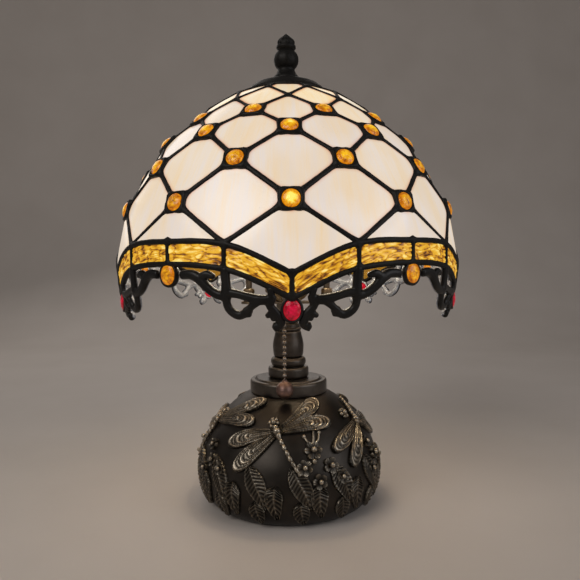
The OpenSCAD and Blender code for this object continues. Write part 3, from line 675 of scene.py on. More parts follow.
def make_chain(looks):
    """The bead chain and the ball on its end."""
    knob = Shape()
    crown = FOB_Z + FOB_R
    z = np.linspace(FOB_Z - FOB_R, crown, 40)
    r = np.sqrt(np.maximum(FOB_R ** 2 - (z - FOB_Z) ** 2, 0))
    seam = 1 - 0.012 * np.exp(-((z - FOB_Z - 1.5) / 0.35) ** 2)
    outline = [(q, y) for q, y in zip(r * seam, z) if y < crown - 0.4]
    outline += [(1.9, crown - 0.1), (1.8, crown + 0.7), (1.2, crown + 1.0), (0.6, crown + 1.0)]
    lathe(knob, outline, 40, worn=0.0)
    for part in knob.points:
        part += chain_point(0)
    fob = build("pull_ball", knob, looks["copper"], "pull_chain", ["chain_ball"])

    beads = Shape()
    for i in range(BEAD_COUNT):
        centre = chain_point(FIRST_BEAD - i * BEAD_PITCH)
        ball(beads, centre, BEAD_R, 12, 20)
    line = [chain_point(z) for z in np.linspace(CHAIN_LOW, CHAIN_TOP, 40)]
    tube(beads, line, [0, 1, 0], 0.45, 0.45, 8)
    chain = build("bead_chain", beads, looks["chain"], "pull_chain", ["pull_chain"])
    first, last = FIRST_BEAD + BEAD_R, FIRST_BEAD - (BEAD_COUNT - 1) * BEAD_PITCH - BEAD_R
    path = [(chain_point(z) * MM).tolist() for z in np.linspace(first, last, 20)]


# ---- the glass ----

def near_jewels(points, jewels, reach):
    """Pushes points that lie within twice reach of a jewel's middle out round it."""
    for middle in jewels:
        away = points - middle
        d = np.linalg.norm(away, axis=-1, keepdims=True)
        fallback = unit(points.reshape(-1, 3).mean(0) - middle)
        direction = np.where(d > 0.3, away / np.maximum(d, 0.3), fallback)
        points = np.where(d < 2 * reach, middle + direction * (reach + d / 2), points)
    return points


def glass_piece(shape, low, high, rows, jewels, warm, seed, bulge=1.1):
    """A sheet of glass ruled between the lines low and high, a little crowned in its middle."""
    cols = len(low)
    v = np.linspace(0, 1, rows)[:, None, None]
    outer = (1 - v) * low[None] + v * high[None]
    u = np.linspace(0, 1, cols)
    across = np.minimum(u, 1 - u)[None, :] * np.ones((rows, 1))
    along = np.minimum(v, 1 - v)[:, :, 0] * np.ones((1, cols))
    n = outward(outer.reshape(-1, 3).mean(0))
    crown = 16 * (u * (1 - u))[None, :] * (v * (1 - v))[:, :, 0]
    outer = outer + n * (bulge * crown)[..., None]
    outer = near_jewels(outer, jewels, GLASS_CUT)
    inner = outer - GLASS_T * n
    points = np.concatenate([outer.reshape(-1, 3), inner.reshape(-1, 3)])
    size = rows * cols
    front = grid_faces(rows, cols)
    back = [tuple(size + i for i in reversed(f)) for f in front]
    loop = rim_loop(rows, cols)
    rim = [(b, a, a + size, b + size) for a, b in zip(loop, loop[1:] + loop[:1])]
    span = np.linalg.norm(low[-1] - low[0]) + np.linalg.norm(high[-1] - high[0])
    edge = np.minimum(across * span / 60, along * span / 60)
    for middle in jewels:
        d = np.linalg.norm(outer - middle, axis=-1)
        edge = np.minimum(edge, 0.06 + np.maximum(d - COLLAR[1], 0) / 30)
    across_mm = (points - points.mean(0)) @ unit(np.cross(UP, n))
    flow = np.stack([across_mm, points[:, 2] + 0.4 * (BAND_R - np.hypot(points[:, 0], points[:, 1])),
                     np.full(len(points), seed)], 1)
    glow = np.append(np.ones(size), np.full(size, 0.75))
    shape.add(points, front + back + rim, flow=flow, edge=np.tile(edge.ravel(), 2), warm=warm, glow=glow)


def split(p, q, count):
    t = np.linspace(0, 1, count)[:, None]
    return (1 - t) * np.asarray(p, float) + t * np.asarray(q, float)


def band_z(edge, a):
    """Height of one of the band's edges at azimuth a: sharp at a point, smooth over an arch."""
    t = np.abs((np.asarray(a, float) + STEP) % (2 * STEP) - STEP)
    s = np.clip(t / HALF, 0, 2)
    start, middle, end = 1.06 * HALF, 0.42 * HALF, 0.0
    first, second = np.clip(s, 0, 1), np.clip(s - 1, 0, 1)

    def hermite(u, a0, a1, m0, m1):
        return ((2 * u ** 3 - 3 * u ** 2 + 1) * a0 + (u ** 3 - 2 * u ** 2 + u) * m0
                + (3 * u ** 2 - 2 * u ** 3) * a1 + (u ** 3 - u ** 2) * m1)

    lower = hermite(first, edge[0], edge[1], start, middle)
    upper = hermite(second, edge[1], edge[2], middle, end)
    return np.where(s <= 1, lower, upper)


def make_glass(looks):
    """Every sheet of the dome, a mesh for each row."""
    rng = random.Random(11)
    warmth = {0: 0.05, 1: 0.16, 2: 0.1, 3: 0.35, 4: 0.8}
    for i in range(5):
        shape = Shape()
        for a in row_az(i):
            low, high = node(i, a), node(i + 2, a)
            right, left = node(i + 1, a + HALF), node(i + 1, a - HALF)
            corners = ((low, i), (high, i + 2), (right, i + 1), (left, i + 1))
            jewels = [p for p, row in corners if row in JEWEL_ROWS]
            warm = min(1.0, max(0.0, warmth[i] + rng.uniform(-0.14, 0.16)))
            near, far = split(low, right, 14), split(left, high, 14)
            glass_piece(shape, near, far, 14, jewels, warm, rng.uniform(0, 60))
        build(f"glass_row_{i + 1}_sheets", shape, looks["opal"], "shade", [f"glass_row_{i + 1}"], 60)

    for name, first in (("point", 0), ("arch", STEP)):
        shape = Shape()
        for a in range(first, 360, 2 * STEP):
            turn = np.linspace(a - HALF * 0.97, a + HALF * 0.97, 19)
            low = on(BAND_R, turn, band_z(BAND_TOP, turn))
            t = 1 - np.abs(turn - a)[:, None] / HALF
            side = np.where((turn > a)[:, None], node(0, a + HALF), node(0, a - HALF))
            high = side + t * (node(1, a) - side)
            warm = rng.uniform(0.0, 0.25)
            glass_piece(shape, low, high, 12, [node(1, a)], warm, rng.uniform(0, 60), 0.7)
        build(f"{name}_sheets", shape, looks["opal"], "shade", [f"{name}_glass"], 60)

    shape = Shape()
    for a in row_az(5):
        turn = np.linspace(a - HALF, a + HALF, 15)
        t = 1 - np.abs(turn - a)[:, None] / HALF
        side = np.where((turn > a)[:, None], node(6, a + HALF), node(6, a - HALF))
        low = side + t * (node(5, a) - side)
        high = on(CAP_R - 2.6, turn, RIM_Z - 0.3)
        glass_piece(shape, low, high, 9, [], rng.uniform(0.7, 1.0), rng.uniform(0, 60), 0.4)
    build("crown_sheets", shape, looks["opal"], "shade", ["crown_glass"], 60)


def ripples(x, y, seed):
    """Height from 0 to 1 of the hammered surface at x along the band and y across it."""
    out = []
    for p, q in zip(x, y):
        bend = noise.noise(Vector((p / 9, q / 7, seed)))
        crease = abs(noise.noise(Vector((p / 5.6 + 1.1 * bend, q / 1.9 + 0.9 * bend, seed + 4))))
        pool = noise.noise(Vector((p / 6.5, q / 2.6, seed + 9)))
        out.append(0.16 + 0.52 * min(1.0, 3.6 * crease) + 0.5 * pool)
    return np.clip(out, 0, 1)


def make_band(looks):
    """The golden band: twenty rippled pieces between the two wavy lead lines."""
    shape = Shape()
    cols, rows = 68, 26
    for k in range(20):
        turn = np.linspace(k * HALF + 0.5, (k + 1) * HALF - 0.5, cols)
        low_z, top_z = band_z(BAND_LOW, turn) + 0.8, band_z(BAND_TOP, turn) - 0.8
        v = np.linspace(0, 1, rows)[:, None]
        z = low_z[None] + v * (top_z - low_z)[None]
        x = np.radians(turn)[None] * BAND_R + 0 * z
        height = ripples(x.ravel(), (v * 15 + 0 * x).ravel(), k * 3.7).reshape(z.shape)
        face = on(skirt_r(z) + 0.75 * (height - 0.6), turn[None], z)
        back = on(skirt_r(z) - GLASS_T, turn[None], z)[:: rows - 1, :]
        size = rows * cols
        points = np.vstack([face.reshape(-1, 3), back.reshape(-1, 3)])
        front = grid_faces(rows, cols)
        rear = [tuple(size + i for i in reversed(f)) for f in grid_faces(2, cols)]
        walls = [(j + 1, j, size + j, size + j + 1) for j in range(cols - 1)]
        top = (rows - 1) * cols
        walls += [(top + j, top + j + 1, size + cols + j + 1, size + cols + j) for j in range(cols - 1)]
        walls.append(tuple(i * cols for i in range(rows)) + (size + cols, size))
        far_side = tuple(i * cols + cols - 1 for i in range(rows - 1, -1, -1))
        walls.append(far_side + (size + cols - 1, size + 2 * cols - 1))
        flow = np.stack([np.append(x.ravel(), np.tile(x[0], 2)), np.append(z.ravel(), np.append(z[0], z[-1])),
                         np.full(len(points), 5.0 * k)], 1)
        ripple = np.append(height.ravel(), np.full(2 * cols, 0.55))
        glow = np.append(np.ones(size), np.full(2 * cols, 0.22))
        shape.add(points, front + rear + walls, ripple=ripple, flow=flow, glow=glow)
    build("band_sheets", shape, looks["band"], "shade", ["band_glass"], 75)


def cabochon(shape, where, out, half, rise, seed, hot=0.0, rings=12, sides=36):
    """A domed jewel with a hammered face, on the plane through where that faces out."""
    across = unit(np.cross(UP, out))
    up = np.cross(out, across)
    turn = 2 * np.pi * np.arange(sides) / sides
    reach = np.sin(np.linspace(0.04, 1, rings) * np.pi / 2)[:, None]
    x, y = half[0] * reach * np.cos(turn), half[1] * reach * np.sin(turn)
    flat = np.stack([x, y, np.zeros_like(x)], -1).reshape(-1, 3)
    dents = np.array([noise.noise(Vector((p / 1.5, q / 1.5, seed))) for p, q, _ in flat]).reshape(x.shape)
    z = rise * np.sqrt(np.maximum(1 - 0.93 * reach ** 2, 0)) + 0.28 * dents * (1 - reach ** 4)
    depth = np.full(sides, -2.4)
    x, y, z = np.vstack([x, x[-1]]), np.vstack([y, y[-1]]), np.vstack([z, depth])
    points = where + x[..., None] * across + y[..., None] * up + z[..., None] * out
    faces = grid_faces(rings + 1, sides, True) + end_faces(rings + 1, sides)
    edge = 1 - np.append(reach.ravel(), 1.0)
    shape.add(points, faces, edge=np.repeat(edge, sides), hot=np.repeat(hot * edge, sides))


def make_jewels(looks):
    amber, drops, rubies = Shape(), Shape(), Shape()
    for i in JEWEL_ROWS:
        for a in row_az(i):
            p = node(i, a)
            # Painted glare of the bulb seen through the jewels: strong on the front jewel of rows 1 and 3,
            # weaker and varying on the rest
            hot = 0.08 + 0.14 * math.sin(1.7 * a + i)
            if a == 0:
                hot = {1: 0.85, 3: 0.4}[i]
            cabochon(amber, p, outward(p), (JEWEL_R, JEWEL_R), 2.7, i * 40 + a, hot)
    for k in range(5):
        a = 2 * STEP * k
        cabochon(rubies, on_skirt(a, RUBY_Z), on(1, a, 0), RUBY, 2.3, 300 + a)
        cabochon(drops, on_skirt(a + STEP, DROP_Z), on(1, a + STEP, 0), DROP, 2.5, 500 + a)
    build("amber_cabochons", amber, looks["amber"], "shade", ["amber_jewels"])
    build("drop_cabochons", drops, looks["amber"], "shade", ["drop_jewels"])
    build("ruby_cabochons", rubies, looks["ruby"], "shade", ["ruby_jewels"])


# ---- lead and castings ----

def solder(shape, p, q, ends, w=CAME_W / 2, depth=LEAD_DEPTH, count=13):
    """A lead line from p to q that stops short of its nodes and swells towards them."""
    along = unit(q - p)
    length = np.linalg.norm(q - p)
    t = np.linspace(ends[0][0], length - ends[1][0], count)
    path = p + t[:, None] * along
    swell = sum(e[1] * np.exp(-((d - e[0]) / 3.4) ** 2) for e, d in zip(ends, (t, length - t)))
    width = w * (1 + 0.13 * wobble(path, 5.0)) + swell
    n = outward((p + q) / 2)
    lift = -LEAD_SEAT + 0.18 * wobble(path, 6.0, 3.0)
    tube(shape, path + n * lift[:, None], n, width, depth, 12, square=0.8)


def collar(shape, where, out, half, rim, top, count=44, seed=0.0, square=None):
    """A metal rim round a jewel of size half: rim wide, or out to a squarish outline."""
    across = unit(np.cross(UP, out))
    up = np.cross(out, across)
    turn = 2 * np.pi * np.arange(count) / count
    c, s = np.cos(turn), np.sin(turn)
    rough = 0.16 * np.array([noise.noise(Vector((2 * x, 2 * y, seed))) for x, y in zip(c, s)])
    if square is None:
        grow = rim * (1 + rough)
    else:
        reach = (np.abs(c / square[0]) ** 7 + np.abs(s / square[1]) ** 7) ** (-1 / 7)
        grow = reach * (1 + 0.35 * rough) - half[0] + 0.15
    x, y = (half[0] - 0.15 + grow / 2) * c, (half[1] - 0.15 + grow / 2) * s
    ring = x[:, None] * across + y[:, None] * up
    depth = (top + 3.0) / 2
    tube(shape, where + ring + out * (top - depth), out, grow / 2, depth, 12, closed=True, square=0.75)


def wear_and_painted_light(points, faces, about):
    """How far each point's normal faces away from about: the share of rubbing on the lead, and, turned round,
    of painted bulb light on the castings.
    """
    mesh = bpy.data.meshes.new("wear_and_painted_light")
    mesh.from_pydata((points * MM).tolist(), [], faces)
    n = np.zeros(len(points) * 3)
    mesh.vertex_normals.foreach_get("vector", n)
    bpy.data.meshes.remove(mesh)
    return np.clip((n.reshape(-1, 3) * about(points)).sum(1), -1, 1)


def lead_skin(name, shape, keep, looks, nodes):
    """Builds one skin round overlapping lead lines, a little worn where it faces out."""
    points, faces = fused(shape, LEAD_VOXEL, 2, keep)
    skin = Shape()
    skin.add(points, faces, worn=np.clip(wear_and_painted_light(points, faces, outward), 0, 1) * 0.1)
    build(name, skin, looks["lead"], "shade", nodes, 60)


def facing_in(points, faces):
    """From 0 to 1, how far each point faces the middle of the shade: the mask of the painted bulb light on
    the castings.
    """
    return np.clip(-wear_and_painted_light(points, faces, outward), 0, 1)


def make_lattice(looks):
    """The dome's lead lines with the solder round its jewels, as one skin."""
    shape = Shape()
    for i in range(6):
        for a in row_az(i):
            for side in (-HALF, HALF):
                ends = []
                for row in (i, i + 1):
                    ends.append((COLLAR[1] - 1.0, 1.2) if row in JEWEL_ROWS else (0.0, 0.7))
                solder(shape, node(i, a), node(i + 1, a + side), ends, CAME_W / 2 - BAR_THINNING[i])
    thin = CAME_W / 2 - BAR_THINNING[5]
    for a in row_az(6):
        solder(shape, node(6, a), on(CAP_R + 0.3, a, RIM_Z - 0.4), [(0.0, 0.4), (0.0, 0.2)], thin, 1.7)
    for i in (5, 6):
        for a in row_az(i):
            p = node(i, a)
            ball(shape, p - 1.0 * outward(p), 3.1, 8, 16, 0.66, outward(p))
    for i in JEWEL_ROWS:
        for a in row_az(i):
            p = node(i, a)
            collar(shape, p, outward(p), (JEWEL_R, JEWEL_R), 0, 1.15, seed=i * 10 + a, square=COLLAR)
    lead_skin("lattice_solder", shape, 0.4, looks, ["lattice_lead", "jewel_bezels"])


def make_band_lead(looks):
    """The two wavy lead lines of the band and the uprights between its pieces."""
    shape = Shape()
    turn = np.arange(0, 360, 2.0)
    for edge, seed in ((BAND_TOP, 2.0), (BAND_LOW, 5.0)):
        z = band_z(edge, turn)
        path = on_skirt(turn, z)
        path = path - outward(path) * LEAD_SEAT
        width = CAME_W / 2 * (1 + 0.12 * wobble(path, 7.0, seed))
        tube(shape, path, outward(path), width, LEAD_DEPTH, 12, closed=True, square=0.8)
    for k in range(20):
        a = k * HALF
        low, top = float(band_z(BAND_LOW, a)), float(band_z(BAND_TOP, a))
        z = np.linspace(low, top, 9)
        path = on_skirt(a, z)
        width = 1.75 * (1 + 0.15 * wobble(path, 4.0, 8.0))
        tube(shape, path - outward(path) * LEAD_SEAT, outward(path), width, 2.0, 12, square=0.8)
        for q, r in ((path[0], 2.9), (path[-1], 3.3)):
            ball(shape, q - 0.9 * outward(q), r, 8, 14, 0.62, outward(q))
    lead_skin("band_solder", shape, 0.5, looks, ["band_lead"])


# Half of one repeat of the cast skirt, each stroke as (azimuth, height, half width)
STROKES = [
    [(17.9, 181, 2.0), (17.8, 174, 1.7), (17.8, 168.5, 2.1), (17.8, 165.5, 2.5)],
    [(4.6, 164.2, 1.0), (6.4, 162.8, 1.7), (9.0, 162.5, 2.1), (12, 164.2, 1.6), (15, 165.9, 1.5),
     (17.8, 166.6, 2.1)],
    [(5.7, 169.5, 1.6), (5.5, 166, 1.1), (5.6, 162.8, 1.8), (6.0, 159.4, 1.5), (5.1, 156.6, 1.6),
     (4.2, 154.2, 1.8), (3.4, 151.3, 1.8), (3.0, 148.8, 1.6), (3.7, 146.8, 1.4), (5.0, 146.2, 1.9)],
    [(4.4, 155.6, 1.5), (5.8, 154.3, 1.1), (7.0, 152.7, 0.5)],
    [(4.2, 152.6, 1.3), (5.6, 150.9, 0.5)],
    [(9.2, 161.8, 1.8), (10.6, 159.4, 1.4), (11.6, 157.4, 1.3), (12.4, 155.8, 1.9)],
    [(17.7, 165.5, 2.1), (18.0, 161.6, 1.5), (17.6, 157.6, 1.5), (16.4, 154.7, 1.6), (14.8, 153.2, 1.7),
     (13.4, 153.9, 1.6), (12.5, 155.2, 1.9)],
    [(13.4, 154.0, 1.3), (11.4, 153.6, 0.5)],
    [(12.3, 156.4, 1.4), (11.1, 155.2, 0.6)],
    [(17.8, 164.6, 2.2), (19.6, 164.8, 1.8), (21.6, 166.6, 1.8), (23.4, 169.6, 1.9), (24.9, 173, 2.1),
     (26.6, 175.9, 2.2), (28.6, 177.2, 2.0), (31.4, 176.8, 1.7)],
    [(25.3, 174.9, 1.9), (23.3, 177.2, 1.5), (21.2, 175.9, 0.7)],
    [(24.2, 176.4, 1.2), (22.6, 178.4, 0.5)],
]


def make_filigree(looks):
    """The cast skirt: half a repeat is cast once, then mirrored and turned round the shade."""
    rough = Shape()
    for stroke in STROKES:
        line = smooth_line(stroke, 5)
        path = on_skirt(line[:, 0], line[:, 1])
        n = outward(path)
        wide = np.maximum(line[:, 2] + 1.0, 1.2)
        tube(rough, path - n * 1.1, n, wide, 0.9 + 0.6 * wide, 12, square=0.85)
    points, faces = fused(rough, 0.5, 2, 0.42)
    shape = Shape()
    # Painted bulb light on the casting's inner faces, carried by the inside attribute
    inward = facing_in(points, faces)
    for k in range(5):
        for side in (1, -1):
            t = math.radians(2 * STEP * k)
            mirrored = points * [side, 1, 1]
            x = mirrored[:, 0] * math.cos(t) - mirrored[:, 1] * math.sin(t)
            y = mirrored[:, 0] * math.sin(t) + mirrored[:, 1] * math.cos(t)
            turned = [f if side == 1 else tuple(reversed(f)) for f in faces]
            shape.add(np.stack([x, y, points[:, 2]], 1), turned, worn=0.35, inside=inward)
    build("filigree_casting", shape, looks["filigree"], "shade", ["filigree"], 60)
    drops, rubies = Shape(), Shape()
    for k in range(5):
        a = 2 * STEP * k
        collar(rubies, on_skirt(a, RUBY_Z), on(1, a, 0), RUBY, 1.9, 0.9, seed=a + 1)
        collar(drops, on_skirt(a + STEP, DROP_Z), on(1, a + STEP, 0), DROP, 2.0, 0.9, seed=a + 2)
    rims = (("ruby_collars", rubies, "ruby_bezels"), ("drop_collars", drops, "drop_bezels"))
    for name, shape, node_name in rims:
        points, faces = fused(shape, 0.45, 2, 0.7)
        skin = Shape()
        # The collars' inner faces get the same painted bulb light
        skin.add(points, faces, worn=0.35, inside=facing_in(points, faces))
        build(name, skin, looks["filigree"], "shade", [node_name], 60)


# ---- the base ----

steps = np.linspace(0, 1, 60)
base_line = np.vstack([cubic(BASE_LOW, steps), cubic(BASE_HIGH, steps)[1:]])
base_arc = np.append(0, np.cumsum(np.linalg.norm(np.diff(base_line, axis=0), axis=1)))


def arc_at(z):
    """Distance along the base's outline from its foot to height z."""
    return np.interp(z, base_line[:, 1], base_arc)


def on_base(a, s, lift):
    """Points on the base's surface at azimuth a and outline distance s, raised by lift."""
    r, z = np.interp(s, base_arc, base_line[:, 0]), np.interp(s, base_arc, base_line[:, 1])
    dr = np.interp(s + 0.5, base_arc, base_line[:, 0]) - np.interp(s - 0.5, base_arc, base_line[:, 0])
    dz = np.interp(s + 0.5, base_arc, base_line[:, 1]) - np.interp(s - 0.5, base_arc, base_line[:, 1])
    size = np.hypot(dr, dz)
    return on(r + lift * dz / size, a, z - lift * dr / size)


def spread_on_base(path, across):
    """Azimuth and outline distance at across mm to the side of each point of path."""
    a, s = path[:, 0], path[:, 1]
    r = np.interp(s, base_arc, base_line[:, 0])
    da, ds = np.gradient(np.radians(a)) * r, np.gradient(s)
    size = np.maximum(np.hypot(da, ds), 1e-6)
    aside = a[:, None] + np.degrees(-ds / size / r)[:, None] * across
    return aside, s[:, None] + (da / size)[:, None] * across


def plate(shape, points_2d, width, height, worn, cols, rows=60):
    """A raised plate along a path on the base: width, height and worn are functions of t and v."""
    per = max(2, rows // (len(points_2d) - 1))
    path = smooth_line([(a, float(arc_at(z))) for a, z in points_2d], per)
    t = np.linspace(0, 1, len(path))
    v = np.linspace(-1, 1, cols)
    half = np.maximum(width(t), 0.05)[:, None]
    a, s = spread_on_base(path, half * v[None])
    tt, vv = np.meshgrid(t, v, indexing="ij")
    lift = height(tt, vv)
    lift[:, [0, -1]] = lift[[0, -1], :] = 0.3
    top = on_base(a, s, lift).reshape(-1, 3)
    loop = rim_loop(len(t), cols)
    under = on_base(a, s, np.full_like(a, -1.4)).reshape(-1, 3)[loop]
    size, count = len(top), len(loop)
    faces = grid_faces(len(t), cols) + [tuple(range(size + count - 1, size - 1, -1))]
    faces += [(loop[(k + 1) % count], loop[k], size + k, size + (k + 1) % count) for k in range(count)]
    shape.add(np.vstack([top, under]), faces, worn=np.append(worn(tt, vv).ravel(), np.zeros(count)))


def ridge(x, middle, width):
    return np.exp(-((x - middle) / width) ** 2)


def wing(shape, root, tip, wide):
    """A dragonfly's wing: veins that fan out from the root and close in loops at the tip."""
    middle = ((root[0] + tip[0]) / 2, (root[1] + tip[1]) / 2 + 1.5)

    def veins(t, v, places, width):
        c = (np.abs(v) ** 3 + np.clip((t - 0.45) / 0.53, 0, 1) ** 3) ** (1 / 3)
        return np.maximum.reduce([ridge(c, m, width) for m in places])

    def loops(t, v):
        bold = veins(t, v, (0.0, 0.33, 0.64, 0.93), 0.045)
        return np.maximum(bold, 0.5 * veins(t, v, (0.16, 0.48, 0.79), 0.035))

    def ladder(t, v):
        return (0.5 + 0.5 * np.cos(2 * np.pi * 22 * t)) * (t > 0.1) * (1 - loops(t, v))

    def height(t, v):
        return 1.9 + 0.7 * (1 - v * v) + 0.8 * loops(t, v) + 0.3 * ladder(t, v)

    def worn(t, v):
        return np.clip(loops(t, v) ** 1.3 + 0.12 * ladder(t, v), 0, 1)

    def width(t):
        return wide * (0.2 + 0.8 * t ** 0.75) * np.sqrt(np.maximum(1 - t ** 6, 0))

    plate(shape, [root, middle, tip], width, height, worn, 33, 72)


def bead_on_base(shape, a, z, r, worn=0.8, lift=0.35):
    s = float(arc_at(z))
    p = on_base(np.array([a]), np.array([s]), lift * r)[0]
    q = on_base(np.array([a]), np.array([s]), 5.0)[0]
    ball(shape, p, r, 8, 12, 1.0, q - p, worn=worn)


def dragonfly(shape, thorax, tail, tips, wide, head=None):
    """One dragonfly: a head of beads, a jointed body and four wings."""
    a0, s0 = thorax[0], float(arc_at(thorax[1]))
    a1, s1 = tail[0], float(arc_at(tail[1]))
    for tip in tips:
        wing(shape, thorax, tip, wide)
    t = np.linspace(-0.12, 1, 110)
    a, s = a0 + (a1 - a0) * t, s0 + (s1 - s0) * t
    joints = np.abs(np.cos(np.pi * 8 * t)) ** 0.6
    r = np.where(t < 0.16, 2.9 - 60 * np.abs(t) ** 2, 1.95 - 0.7 * t) * (0.62 + 0.38 * joints)
    path = on_base(a, s, np.where(t < 0.16, 2.4, 1.5))
    n = unit(on_base(a, s, 6.0 * np.ones_like(a)) - path)
    tube(shape, path, n, r, r, 12, worn=0.25 + 0.5 * joints)
    r_here = float(np.interp(s0, base_arc, base_line[:, 0]))
    if head is None:
        back = unit(np.array([np.radians(a0 - a1) * r_here, s0 - s1]))
        a2, s2 = a0 + math.degrees(7.4 * back[0] / r_here), s0 + 7.4 * back[1]
    else:
        a2, s2 = head[0], float(arc_at(head[1]))
    around = np.radians(np.arange(0, 360, 60))
    beads = [(0.0, 0.0, 1.9, 2.6)] + [(3.0 * math.cos(q), 3.0 * math.sin(q), 1.55, 1.3) for q in around]
    for across, along, size, lift in beads:
        p = on_base(np.array([a2 + math.degrees(across / r_here)]), np.array([s2 + along]), lift)[0]
        ball(shape, p, size, 8, 12, 1.0, p, worn=0.6)


def leaf(shape, points_2d, wide, ribs=12, bold=1.0):
    """A pointed leaf with a midrib and slanting ribs."""

    def width(t):
        return wide * np.sin(np.pi * np.clip(t, 0.02, 0.98) ** 0.85) ** 0.8

    def slant(t, v):
        return 0.5 + 0.5 * np.cos(2 * np.pi * (ribs * t - 1.6 * np.abs(v)))

    def height(t, v):
        inner = 0.75 * slant(t, v) * (1 - ridge(v, 0, 0.12)) + 0.9 * ridge(v, 0, 0.1)
        return 1.0 + bold * inner + 0.4 * ridge(np.abs(v), 0.88, 0.1)

    def worn(t, v):
        rubbed = 0.22 * slant(t, v) ** 3 + 0.3 * ridge(v, 0, 0.08) + 0.3 * ridge(np.abs(v), 0.88, 0.07)
        return np.clip(rubbed, 0, 1)

    plate(shape, points_2d, width, height, worn, 21)


def blossom(shape, a, z, r, petals=6, turn=0.0):
    """An open flower of cupped petals round a bead."""
    rings, sides = 9, 72
    s = float(arc_at(z))
    r_here = float(np.interp(s, base_arc, base_line[:, 0]))
    q = np.linspace(0.05, 1, rings)[:, None]
    phi = 2 * np.pi * np.arange(sides)[None] / sides
    lobe = np.abs(np.cos(petals / 2 * phi + turn))
    reach = r * q * (0.66 + 0.34 * lobe ** 0.6)
    lift = 1.6 + 1.25 * q ** 2 * lobe + 0.22 * np.cos(4 * petals * phi) * q * lobe
    lift[-1] = -1.0
    a2, s2 = a + np.degrees(reach * np.cos(phi) / r_here), s + reach * np.sin(phi)
    top = on_base(a2, s2, lift)
    faces = grid_faces(rings, sides, True) + end_faces(rings, sides)
    worn = np.clip(q ** 4 * lobe * 0.95 + 0 * phi, 0, 1)
    worn[-1] = 0
    shape.add(top.reshape(-1, 3), faces, worn=worn.ravel())
    bead_on_base(shape, a, z, 0.3 * r, 0.8, 1.9)


def stem(shape, points_2d, r):
    line = smooth_line([(a, float(arc_at(z))) for a, z in points_2d], 8)
    path = on_base(line[:, 0], line[:, 1], 0.7 * np.ones(len(line)))
    n = unit(on_base(line[:, 0], line[:, 1], 4.0 * np.ones(len(line))) - path)
    tube(shape, path, n, r, r, 8, worn=0.7)


def make_relief(looks):
    """The raised ornament all round the base: dragonflies, then leaves, then flowers."""
    flies, leaves, flowers = Shape(), Shape(), Shape()
    dragonfly(flies, (-10, 65), (5, 39.7), [(34, 82), (35, 69.5), (-46, 55), (-36, 40)], 7.8)
    dragonfly(flies, (64, 65), (79, 78), [(28, 52), (39, 40), (94, 50), (104, 58)], 7.0, (55.5, 71))
    dragonfly(flies, (136, 64), (140, 38), [(168, 75), (166, 61), (104, 73), (108, 60)], 7.2)
    dragonfly(flies, (208, 65), (196, 40), [(238, 73), (236, 59), (176, 52), (184, 41)], 7.2)
    dragonfly(flies, (284, 64), (278, 38), [(330, 82.2), (330, 70), (254, 67), (256, 54)], 7.2)
    step = 360 / LEAF_COUNT
    for k in range(LEAF_COUNT):
        a = (k + 0.5) * step
        leaf(leaves, [(a - 13, 45), (a - 9, 36), (a - 5, 27), (a - 1, 15)], 7.4)
        if abs(a - 172) > step / 2:
            leaf(leaves, [(a + 4, 33), (a + 3, 24), (a + 5, 9)], 6.8, 9)
            leaf(leaves, [(a - 8, 22), (a - 7, 14), (a - 5, 5)], 6.2, 7)
    spray = ((14.5, 54, 7.0), (24.5, 44, 6.2), (8.0, 44, 6.0), (16.5, 35, 5.8), (31, 36, 5.2))
    for shift, grow in ((0, 1.0), (122, 1.05), (236, 1.0)):
        for n, (a, z, r) in enumerate(spray):
            blossom(flowers, a + shift, z, r * grow, 6 if n % 2 == 0 else 5, 0.5 * n)
        bead_on_base(flowers, 14 + shift, 47.5, 2.0, 0.5, 1.2)
        stem(flowers, [(17.6 + shift, 66), (16.6 + shift, 62), (14.8 + shift, 56)], 0.95)
        calyx = [(9.6, 62.4), (12, 59), (15.6, 58), (19.4, 59.8), (21.6, 64)]
        stem(flowers, [(a + shift, z) for a, z in calyx], 0.85)
        for a, z in (calyx[0], calyx[-1]):
            bead_on_base(flowers, a + shift, z, 1.5)
    cluster = ((0, 51, 4.8), (5, 42, 5.2), (14, 38, 4.6), (-3, 34, 4.8))
    for shift, grow, count in ((-61, 1.0, 4), (62, 1.05, 4), (190, 0.95, 2)):
        for n, (a, z, r) in enumerate(cluster[:count]):
            blossom(flowers, a + shift, z, r * grow, 5, 0.7 * n)
    groups = (("base_dragonflies", flies), ("base_leaves", leaves), ("base_flowers", flowers))
    for name, shape in groups:
        build(name, shape, looks["relief"], "root", ["base_relief"], 50)


